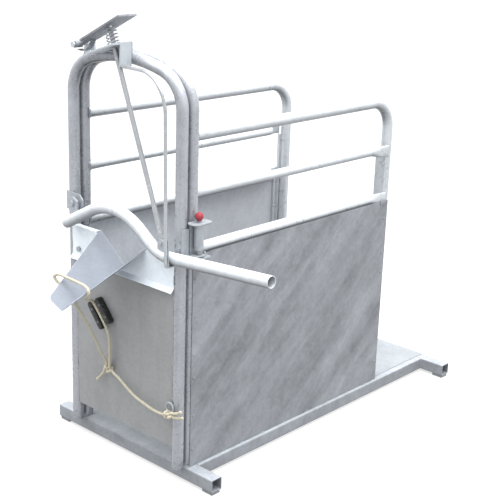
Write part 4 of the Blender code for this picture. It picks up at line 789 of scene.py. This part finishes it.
def makeFrameTubes():
    # hoops, side frames and rails
    radius, sides = hoopSize["radius"], hoopSize["sides"]
    rearLine = hoopLine(hoopSize["rearY"], hoopSize["rearFoot"])
    gateLine = hoopLine(hoopSize["gateY"], hoopSize["gateFoot"])
    tubePiece("rearHoopTube", pipe(straightRuns(rearLine), radius, sides), "tube", "root", "rear_hoop")
    tubePiece("gateHoopTube", pipe(straightRuns(gateLine), radius, sides), "tube", "gate", "gate_hoop")
    for side, word in ((-1, "left"), (1, "right")):
        x, top, post = side * railSize["x"], railSize["topZ"], railSize["postY"]
        corners = [(x, railSize["startY"], top), (x, post, top), (x, post, railSize["postFoot"])]
        line = roundedLine(corners, [railSize["bend"]], 20)
        # side frames and rails take the paler tube copy, as painted light
        tubePiece(word + "SideFrameTube", pipe(straightRuns(line), radius, sides), "litTube", "root",
                  word + "_side_frame")
        midRail = railSkin(side, railSize["midZ"], railSize["midRadius"])
        lowRail = railSkin(side, railSize["lowZ"], railSize["lowRadius"])
        tubePiece(word + "MidRailTube", midRail, "litTube", "root", word + "_mid_rail")
        tubePiece(word + "LowRailTube", lowRail, "litTube", "root", word + "_low_rail")
    print("stage: frame tubes made")


makeFrameTubes()

barSize = {
    "y": -0.088,
    "radius": 0.021,
    "bore": 0.0180,
    "boreDepth": 0.069,
    "rim": 0.0010,
    "sides": 36,
    "corners": [(-0.262, -0.088, 0.877), (0.0132, -0.088, 1.0228), (0.2363, -0.088, 0.8700),
                (0.738, -0.088, 0.9047)],
    "bends": [0.245, 0.150],
}
rodSize = {
    "tilt": 21.3,
    "radius": 0.0085,
    "foot": (0.252, -0.088, 0.920),
    "topZ": 1.622,
    "shankStart": 0.010,
    "eye": 0.012,
    "rim": 0.0006,
}
keeperSize = {
    "corners": [(0.0572, -0.0980, 1.4855), (0.2905, -0.1213, 1.4855), (0.3005, -0.1213, 0.8622)],
    "bend": 0.130,
    "radius": 0.006,
}
springSize = {
    "radius": 0.0200,
    "wire": 0.0020,
    "turns": 5,
    "length": 0.0490,
    "footZ": 1.5475,
    "lift": 0.0046,
    "keep": 0.72,
}


def unit(way):
    # the same direction, one long
    return way / np.linalg.norm(way)


def makeNeckBar():
    # bent tube whose skin turns in over the rim at the handle end and runs back down the bore
    line = straightRuns(roundedLine(barSize["corners"], barSize["bends"], 18), 0.03)
    way = unit(line[-1] - line[-2])
    radius, bore, rim = barSize["radius"], barSize["bore"], barSize["rim"]
    ease = rimEase * rim
    start = [line[0], line[0] + unit(line[1] - line[0]) * 0.0005]
    outer = np.concatenate([start, line[1:-1], [line[-1] - way * rim, line[-1] - way * ease]])
    inner = [line[-1], line[-1], line[-1] - way * ease, line[-1] - way * rim,
             line[-1] - way * barSize["boreDepth"]]
    outerRadii = np.full(len(outer), radius)
    outerRadii[0] = radius - 0.0008
    outerRadii[-1] = radius - ease
    radii = np.concatenate([outerRadii, [radius - rim, bore + rim, bore + ease, bore, bore]])
    path = np.concatenate([outer, inner])
    ring = circleOf(barSize["sides"])[None]
    normal = np.array([0.0, 1.0, 0.0])
    tangent = np.gradient(outer, axis=0)
    tangent = np.concatenate([tangent, np.repeat(tangent[-1:], len(inner), axis=0)])
    tangent /= np.linalg.norm(tangent, axis=1)[:, None]
    across = np.cross(tangent, normal)
    spread = radii[:, None, None]
    rings = path[:, None] + spread * (ring[:, :, :1] * normal + ring[:, :, 1:] * across[:, None])
    tubePiece("neckBarTube", loft(rings), "litTube", "neck_bar", "neck_bar")


def rodFrame():
    # the rod's own direction and the direction square to it, both across the crate
    tilt = math.radians(rodSize["tilt"])
    up = np.array([-math.sin(tilt), 0.0, math.cos(tilt)])
    aside = np.array([math.cos(tilt), 0.0, math.sin(tilt)])
    return tilt, up, aside


def makePushRod():
    # straight rod and its eye
    tilt, up, _ = rodFrame()
    foot = np.array(rodSize["foot"])
    top = foot + up * (rodSize["topZ"] - foot[2]) / math.cos(tilt)
    ends = np.array([foot + up * rodSize["shankStart"], top - up * 0.0002])
    shank = pipe(straightRuns(ends), rodSize["radius"], 24, 0.0012)
    half = rodSize["radius"] - 0.0001
    outer, rim = rodSize["eye"], rodSize["rim"]
    rows = [(0.0, outer - rim), (rim, outer), (2 * half - rim, outer), (2 * half, outer - rim)]
    eye = turned(foot - (0, half, 0), foot + (0, half, 0), rows, 32)
    finishPiece("pushRodBar", [shank, eye], galvanised["rod"], "push_rod", ["push_rod"])


def makeKeeperRod():
    # thin rod in front of the bar, from the lock bracket down to the hook
    line = straightRuns(roundedLine(keeperSize["corners"], [keeperSize["bend"]], 20))
    finishPiece("keeperRodBar", [pipe(line, keeperSize["radius"], 20)], galvanised["rod"], "gate",
                ["keeper_rod"])


def makeLockSpring():
    # coil about the rod's line: a helix with straight ends, its wire a small circle carried along it
    size = springSize
    tilt, up, first = rodFrame()
    rise = size["footZ"] - rodSize["foot"][2]
    foot = np.array([rodSize["foot"][0] - rise * math.tan(tilt), barSize["y"], size["footZ"]])
    second = np.cross(up, first)
    t = np.linspace(0.0, 1.0, size["turns"] * 36 + 1)[:, None]
    climb = size["lift"] + size["length"] * np.clip(t * 1.16 - 0.08, 0.0, 1.0)
    angle = 2.0 * np.pi * size["turns"] * t
    line = foot + up * climb + size["radius"] * (first * np.cos(angle) + second * np.sin(angle))
    spring = finishPiece("lockSpringCoil", [pipe(line, size["wire"], 12, 0.0006)], galvanised["fitting"],
                         "gate", ["lock_spring"])
    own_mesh(spring)


makeNeckBar()
makePushRod()
makeKeeperRod()
makeLockSpring()
print("stage: neck bar, rods and spring made")


# sheets
def panel(axis, face, thick, low, high, rows, columns, buckle):
    # thin sheet on a grid: both faces move together by two crossed sine waves and one slow swell
    u, v = np.meshgrid(np.linspace(low[0], high[0], columns), np.linspace(low[1], high[1], rows))
    edge = np.minimum.reduce([u - low[0], high[0] - u, v - low[1], high[1] - v])
    fade = np.clip(edge / 0.05, 0.0, 1.0)
    crossed = np.sin(7.0 * u + 2.1 * v + 0.7) * np.sin(5.3 * v - 1.1 * u)
    wave = buckle * fade * (crossed + 0.35 * np.sin(17.0 * v + 3.0 * u))
    outer, inner = np.full_like(u, face) + wave, np.full_like(u, face - thick) + wave
    if axis == "x":
        return slabOf(np.stack([outer, u, v], -1), np.stack([inner, u, v], -1))
    return slabOf(np.stack([u, outer, v], -1), np.stack([u, inner, v], -1))


def makeSideSheets():
    # side sheets with their rivets and corner tabs; behind the hoop the top edge is drawn up to the rail
    size = sheetSize
    face = size["inner"] + size["thick"] - size["skin"]
    for side, word in ((-1, "left"), (1, "right")):
        sheet = panel("x", face, size["thick"] - 2.0 * size["skin"], (size["front"], size["bottom"]),
                      (size["rear"], size["top"]), 60, 80, size["buckle"])
        points = sheet[0]
        byHeight = np.clip((points[:, 2] - size["liftFrom"][0]) / size["liftOver"][0], 0.0, 1.0)
        byDepth = np.clip((points[:, 1] - size["liftFrom"][1]) / size["liftOver"][1], 0.0, 1.0)
        points[:, 2] += size["lift"] * byHeight * byDepth
        shapes = [sheet]
        for y, levels in (size["frontRivets"], size["rearRivets"]):
            for z in levels:
                shapes.append(turned((face - 0.0001, y, z), (face + 0.003, y, z), size["rivet"], 18))
        shapes.append(pressed(size["tab"], face - 0.0005, face + 0.0028, (0, 0, 0), (0, 1, 0), (0, 0, 1)))
        flipped = [(points * (side, 1.0, 1.0), quads, tris) for points, quads, tris in shapes]
        # the left sheet takes the paler copy, as painted light on the inside of the crate
        surface = galvanised["litInnerSheet" if side < 0 else "sheet"]
        finishPiece(word + "SideSheetPanel", flipped, surface, "root", [word + "_side_sheet"])


def makeGateSheet():
    # lower sheet of the gate, with the soft round of its lower edge
    size = gateSheetSize
    sheet = panel("y", size["faceY"], size["thick"], (-size["half"], size["low"]),
                  (size["half"], size["high"]), 50, 46, size["buckle"])
    end = size["half"] - 0.001
    fold = np.array([(-end, size["foldY"], size["foldZ"]), (end, size["foldY"], size["foldZ"])])
    finishPiece("gateSheetPanel", [sheet, pipe(straightRuns(fold), size["foldRadius"], 10, 0.0003)],
                galvanised["gateSheet"], "gate", ["gate_sheet"])


makeSideSheets()
makeGateSheet()
print("stage: sheets made")

# parts carried over from the frame, which only get a finish
carried = {
    "beam": ["front_cross_beam", "rear_cross_beam", "left_side_beam", "right_side_beam", "lock_web"],
    "sheet": ["lock_plate", "lock_strap"],
    "deck": ["floor_sheet"],
    "lock": ["lock_bracket", "front_lock_lug", "rear_lock_lug", "lock_hinge_pin"],
    "litTube": ["left_sheet_bar", "right_sheet_bar"],
    "yoke": ["yoke_plate"],
    "scoop": ["head_scoop"],
    "fitting": ["lower_post_lug", "upper_post_lug", "lower_hinge_pin", "upper_hinge_pin", "latch_bracket",
                "latch_top_cap", "latch_barrel", "latch_bolt", "yoke_bolt", "tie_ring", "pivot_plate",
                "pivot_bolt", "pivot_washer", "keeper_hook", "lower_gate_lug", "upper_gate_lug",
                "gate_tongue", "neck_bar_lug", "front_clevis_ear", "rear_clevis_ear", "rod_pin",
                "latch_plunger"],
}
for key, names in carried.items():
    for name in names:
        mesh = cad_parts[name].data
        mesh.materials.clear()
        mesh.materials.append(galvanised[key])
print("stage: carried-over parts finished")


# cleat and knob
cleatSize = {
    "half": 0.0125,
    "back": -0.0453,
    "depth": 0.0237,
    "edge": 0.003,
    "jaws": [((-0.169, 0.587), (-0.096, 0.500)), ((-0.127, 0.613), (-0.055, 0.533))],
    "screwShares": (0.27, 0.73),
    "screw": [(0.0, 0.0044), (0.0002, 0.0050), (0.0008, 0.0048), (0.0010, 0.0030), (0.0004, 0.0026)],
    "baseHalf": 0.021,
    "baseDepth": 0.004,
    "baseShift": 0.16,
}
knobSize = {
    "centre": (0.325, 0.008, 1.0085),
    "radius": 0.0149,
    "from": -0.5 * np.pi + 0.50,
    "to": 0.5 * np.pi - 0.05,
    "drop": 0.0148,
    "rise": 0.0150,
    "collar": (0.0078, 0.0088),
}


def jawOutline(start, end, half, count=10):
    # long outline with half-round ends between two points of the gate plane
    start, end = np.asarray(start, float), np.asarray(end, float)
    way = unit(end - start)
    aside = np.array([-way[1], way[0]])
    angle = np.linspace(-0.5 * np.pi, 0.5 * np.pi, count)[:, None]
    far = (end - way * half) + half * (way * np.cos(angle) + aside * np.sin(angle))
    near = (start + way * half) - half * (way * np.cos(angle) + aside * np.sin(angle))
    return np.concatenate([far, near])


def makeCleat():
    # two jaws, a base between them and two screws in each jaw
    size = cleatSize
    back, front = (0, size["back"], 0), size["back"] - size["depth"]
    shapes, screws = [], []
    for start, end in np.array(size["jaws"]):
        outline = jawOutline(start, end, size["half"])
        shapes.append(pressed(outline, 0.0, size["depth"], back, (1, 0, 0), (0, 0, 1), size["edge"]))
        for share in size["screwShares"]:
            x, z = start + (end - start) * share
            screws.append(turned((x, front + 0.0009, z), (x, front - 0.01, z), size["screw"], 20))
    start, end = 0.5 * np.array(size["jaws"]).sum(axis=0)
    shift = (end - start) * size["baseShift"]
    base = jawOutline(start + shift, end - shift, size["baseHalf"])
    shapes.append(pressed(base, 0.0, size["baseDepth"], back, (1, 0, 0), (0, 0, 1)))
    finishPiece("cleatJaws", shapes, blackNylon, "gate", ["rope_cleat"])
    finishPiece("cleatScrews", screws, galvanised["fitting"], "gate")


def makeKnob():
    # ball knob: a lathe profile of a ball on a short collar
    size = knobSize
    centre = np.array(size["centre"])
    angle = np.linspace(size["from"], size["to"], 26)
    ball = np.stack([size["radius"] * np.sin(angle), size["radius"] * np.cos(angle)], -1)
    collar = np.array([[-size["drop"], radius] for radius in size["collar"]])
    profile = np.concatenate([collar, ball]) + (size["drop"], 0.0)
    shape = turned(centre - (0, 0, size["drop"]), centre + (0, 0, size["rise"]), profile, 36)
    finishPiece("knobBall", [shape], redKnob, "latch_plunger", ["red_knob"])


makeCleat()
makeKnob()
print("stage: cleat and knob made")


# welds
beadSize = {"step": 0.0011, "ripple": 0.003, "depth": 0.12, "taper": 0.002, "endShare": 0.35, "slow": 41.0}


def bead(path, radius, seed):
    # weld bead: a small round carried along the seam, its radius rippled once per ripple and slowly uneven
    path = np.asarray(path, float)
    walked = walkedLength(path)
    even = np.linspace(0.0, walked[-1], max(8, int(walked[-1] / beadSize["step"])))
    line = np.stack([np.interp(even, walked, path[:, k]) for k in range(3)], -1)
    ripple = np.sin(2.0 * np.pi * even / beadSize["ripple"])
    uneven = np.sin(beadSize["slow"] * even + seed)
    size = radius * (1.0 + beadSize["depth"] * ripple + beadSize["depth"] * uneven)
    fromEnd = np.minimum(even, walked[-1] - even)
    size *= np.clip(fromEnd / beadSize["taper"] + beadSize["endShare"], 0.0, 1.0)
    return loft(sweep(line, size, 10))


def seamRound(centre, radius, upright, count=48, saddle=None):
    # ring seam about a tube's foot, flat or upright; saddle bends it over a second tube
    angle = np.linspace(0.0, 2.0 * np.pi, count)
    second = np.array((0, 0, 1) if upright else (0, 1, 0))
    ring = (np.asarray(centre) + radius[0] * np.cos(angle)[:, None] * np.array((1, 0, 0))
            + radius[1] * np.sin(angle)[:, None] * second)
    if saddle is not None:
        middle, tubeRadius = saddle
        reach = np.maximum(tubeRadius ** 2 - (ring[:, 0] - middle[0]) ** 2, 0.00001)
        ring[:, 1] = middle[1] + np.sqrt(reach)
    return ring


def weldPiece(name, seams, body, spread):
    # all beads of one body, each with its own unevenness
    beads = [bead(path, size, k * spread) for k, (path, size) in enumerate(seams)]
    finishPiece(name, beads, galvanised["weld"], body, (), 80.0)


frameSeams = {
    "footRadius": 0.0222,
    "legFoot": 0.0645,
    "postFoot": 0.0655,
    "footBead": 0.0026,
    "saddle": 0.0212,
    "railStart": 0.03,
    "railBead": 0.0022,
    "railRings": ((0.0212, 0.0212), (0.0135, 0.0188), (0.0170, 0.0232)),
    "flatX": 0.2912,
    "flatY": (1.1065, 1.1165),
    "flatHalves": (0.0212, 0.0266),
    "flatBead": 0.0020,
    "stitchY": (0.14, 0.27, 0.39, 0.52, 0.66, 0.79, 0.92, 1.04),
    "stitchLength": 0.016,
    "stitchOut": 0.0022,
    "stitchZ": 0.0632,
    "beamEnds": (0.0412, 1.4678),
    "beamX": (0.265, 0.315),
    "beamZ": (0.016, 0.058),
    "beamTop": (0.268, 0.312, 0.0622),
    "beamBead": 0.0018,
    "padY": (-0.004, 0.036, 1.473, 1.513),
    "padX": (0.378, 0.426),
    "padZ": 0.0118,
    "padBead": 0.0014,
}
gateSeams = {
    "legX": 0.2622,
    "faceY": -0.0455,
    "stitches": ((0.150, 0.185), (0.300, 0.340), (0.460, 0.500), (0.610, 0.650), (0.700, 0.730)),
    "stitchBead": 0.0022,
    "yokeEnd": (0.2712, -0.0545, 0.765, 0.800),
    "scoopFold": ((0.006, 0.7600), (0.128, 0.8560)),
    "foldY": -0.0560,
    "foldBead": 0.0018,
    "topEdge": (0.260, 0.7465),
    "topBead": 0.0013,
    "ring": (0.262, -0.0560, 0.3215),
    "ringRadius": (0.0060, 0.0040),
    "web": (-0.078, 0.054),
    "webY": -0.0552,
    "webLift": 0.0150,
}


def makeFrameWelds():
    # seams of the fixed frame
    look, seams = frameSeams, []
    foot = (look["footRadius"], look["footRadius"])
    levels = (railSize["topZ"], railSize["midZ"], railSize["lowZ"])
    for side in (-1, 1):
        legX, railX = side * hoopSize["halfWidth"], side * railSize["x"]
        leg = (legX, hoopSize["rearY"], look["legFoot"])
        post = (railX, railSize["postY"], look["postFoot"])
        seams += [(seamRound(centre, foot, False), look["footBead"]) for centre in (leg, post)]
        saddle = ((legX, hoopSize["rearY"]), look["saddle"])
        for z, ring in zip(levels, look["railRings"]):
            seam = seamRound((railX, look["railStart"], z), ring, True, saddle=saddle)
            seams.append((seam, look["railBead"]))
        for z, half in zip(levels[1:], look["flatHalves"]):
            for up in (-1, 1):
                seam = [(side * look["flatX"], y, z + up * half) for y in look["flatY"]]
                seams.append((seam, look["flatBead"]))
        for y in look["stitchY"]:
            x, z = side * (sheetSize["inner"] + look["stitchOut"]), look["stitchZ"]
            seams.append(([(x, y, z), (x, y + look["stitchLength"], z)], look["footBead"]))
        for y in look["beamEnds"]:
            for x in look["beamX"]:
                seams.append(([(side * x, y, z) for z in look["beamZ"]], look["beamBead"]))
            inner, outer, z = look["beamTop"]
            seams.append(([(side * inner, y, z), (side * outer, y, z)], look["beamBead"]))
        for y in look["padY"]:
            seams.append(([(side * x, y, look["padZ"]) for x in look["padX"]], look["padBead"]))
    weldPiece("frameWelds", seams, "root", 1.7)


def makeGateWelds():
    # seams of the swinging gate
    look, seams = gateSeams, []
    for side in (-1, 1):
        for levels in look["stitches"]:
            seam = [(side * look["legX"], look["faceY"], z) for z in levels]
            seams.append((seam, look["stitchBead"]))
        x, y, low, high = look["yokeEnd"]
        seams.append(([(side * x, y, low), (side * x, y, high)], look["foldBead"]))
        seams.append(([(side * x, look["foldY"], z) for x, z in look["scoopFold"]], look["foldBead"]))
    half, z = look["topEdge"]
    seams.append(([(-half, look["faceY"], z), (half, look["faceY"], z)], look["topBead"]))
    seams.append((seamRound(look["ring"], look["ringRadius"], True, 24), look["stitchBead"]))
    x = np.linspace(*look["web"], 30)
    crown = hoopSize["top"] - hoopSize["crown"] + np.sqrt(hoopSize["crown"] ** 2 - x ** 2)
    web = np.stack([x, np.full(len(x), look["webY"]), crown + look["webLift"]], -1)
    seams.append((web, look["stitchBead"]))
    weldPiece("gateWelds", seams, "gate", 2.3)


makeFrameWelds()
makeGateWelds()
print("stage: welds laid")

# studio
studio = {
    "zenith": 2.3,
    "horizon": 0.30,
    "skyTint": (0.97, 0.985, 1.0, 1.0),
    "skyRange": (-0.1, 0.9),
    "floorTone": 0.30,
    "floorGlow": 0.70,
    "floorHalf": 30.0,
    "floorDrop": 0.0005,
    "aim": (0.0, 0.0, 0.7),
    "lamps": {"top": {"spot": (0.5, -0.3, 4.2), "size": 3.2, "power": 200.0},
              "key": {"spot": (-1.4, -2.6, 3.4), "size": 2.6, "power": 40.0},
              "side": {"spot": (3.8, -0.6, 2.6), "size": 2.4, "power": 12.0}},
}
pureWhite = (1.0, 1.0, 1.0, 1.0)


def emptyTree(owner):
    # cleared node tree of a world or a material
    owner.use_nodes = True
    owner.node_tree.nodes.clear()
    return owner.node_tree


def seenDirectly(tree):
    # one for camera, glossy and transmission rays, zero for the rest
    rays = node(tree, "ShaderNodeLightPath").outputs
    seen = rays["Is Camera Ray"]
    for kind in ("Is Glossy Ray", "Is Transmission Ray"):
        seen = node(tree, "ShaderNodeMath", {0: seen, 1: rays[kind]}, operation="MAXIMUM").outputs[0]
    return seen


def makeSky():
    # plain white to the eye, to gloss and to glass; a sky brighter overhead for the soft light
    world = bpy.data.worlds.new("studio world")
    bpy.context.scene.world = world
    tree = emptyTree(world)
    seen = seenDirectly(tree)
    way = node(tree, "ShaderNodeTexCoord").outputs["Generated"]
    height = node(tree, "ShaderNodeSeparateXYZ", {0: way}).outputs[2]
    rise = ramp(tree, height, studio["skyRange"], (studio["horizon"], studio["zenith"]))
    sky = node(tree, "ShaderNodeBackground", {"Color": studio["skyTint"], "Strength": rise})
    white = node(tree, "ShaderNodeBackground", {"Color": pureWhite, "Strength": 1.0})
    mix = node(tree, "ShaderNodeMixShader", {0: seen, 1: sky.outputs[0], 2: white.outputs[0]})
    node(tree, "ShaderNodeOutputWorld", {0: mix.outputs[0]})


def makeFloor():
    # grey floor that catches the shadow, with a glow that makes it pale where it is seen
    material = bpy.data.materials.new("pale floor")
    tree = emptyTree(material)
    seen = seenDirectly(tree)
    tone = studio["floorTone"]
    matt = node(tree, "ShaderNodeBsdfDiffuse", {"Color": (tone, tone, tone, 1.0)})
    glow = node(tree, "ShaderNodeEmission", {"Color": pureWhite, "Strength": studio["floorGlow"]})
    shown = node(tree, "ShaderNodeAddShader", {0: matt.outputs[0], 1: glow.outputs[0]})
    mix = node(tree, "ShaderNodeMixShader", {0: seen, 1: matt.outputs[0], 2: shown.outputs[0]})
    node(tree, "ShaderNodeOutputMaterial", {0: mix.outputs[0]})
    half = studio["floorHalf"]
    corners = [(-half, -half, 0), (half, -half, 0), (half, half, 0), (-half, half, 0)]
    mesh = bpy.data.meshes.new("floor")
    mesh.from_pydata(corners, [], [(0, 1, 2, 3)])
    mesh.materials.append(material)
    floor = bpy.data.objects.new("floor", mesh)
    floor.location.z = -studio["floorDrop"]
    bpy.context.scene.collection.objects.link(floor)


def makeLamps():
    # soft square lamps, each turned to the middle of the crate
    for name, look in studio["lamps"].items():
        lamp = bpy.data.objects.new(name + "Lamp", bpy.data.lights.new(name + "Lamp", "AREA"))
        lamp.data.energy = look["power"]
        lamp.data.size = look["size"]
        lamp.location = look["spot"]
        toward = Vector(studio["aim"]) - Vector(look["spot"])
        lamp.rotation_euler = toward.to_track_quat("-Z", "Y").to_euler()
        bpy.context.scene.collection.objects.link(lamp)


makeSky()
makeFloor()
makeLamps()
bpy.context.scene.view_settings.view_transform = "Standard"
print("stage: studio lit")
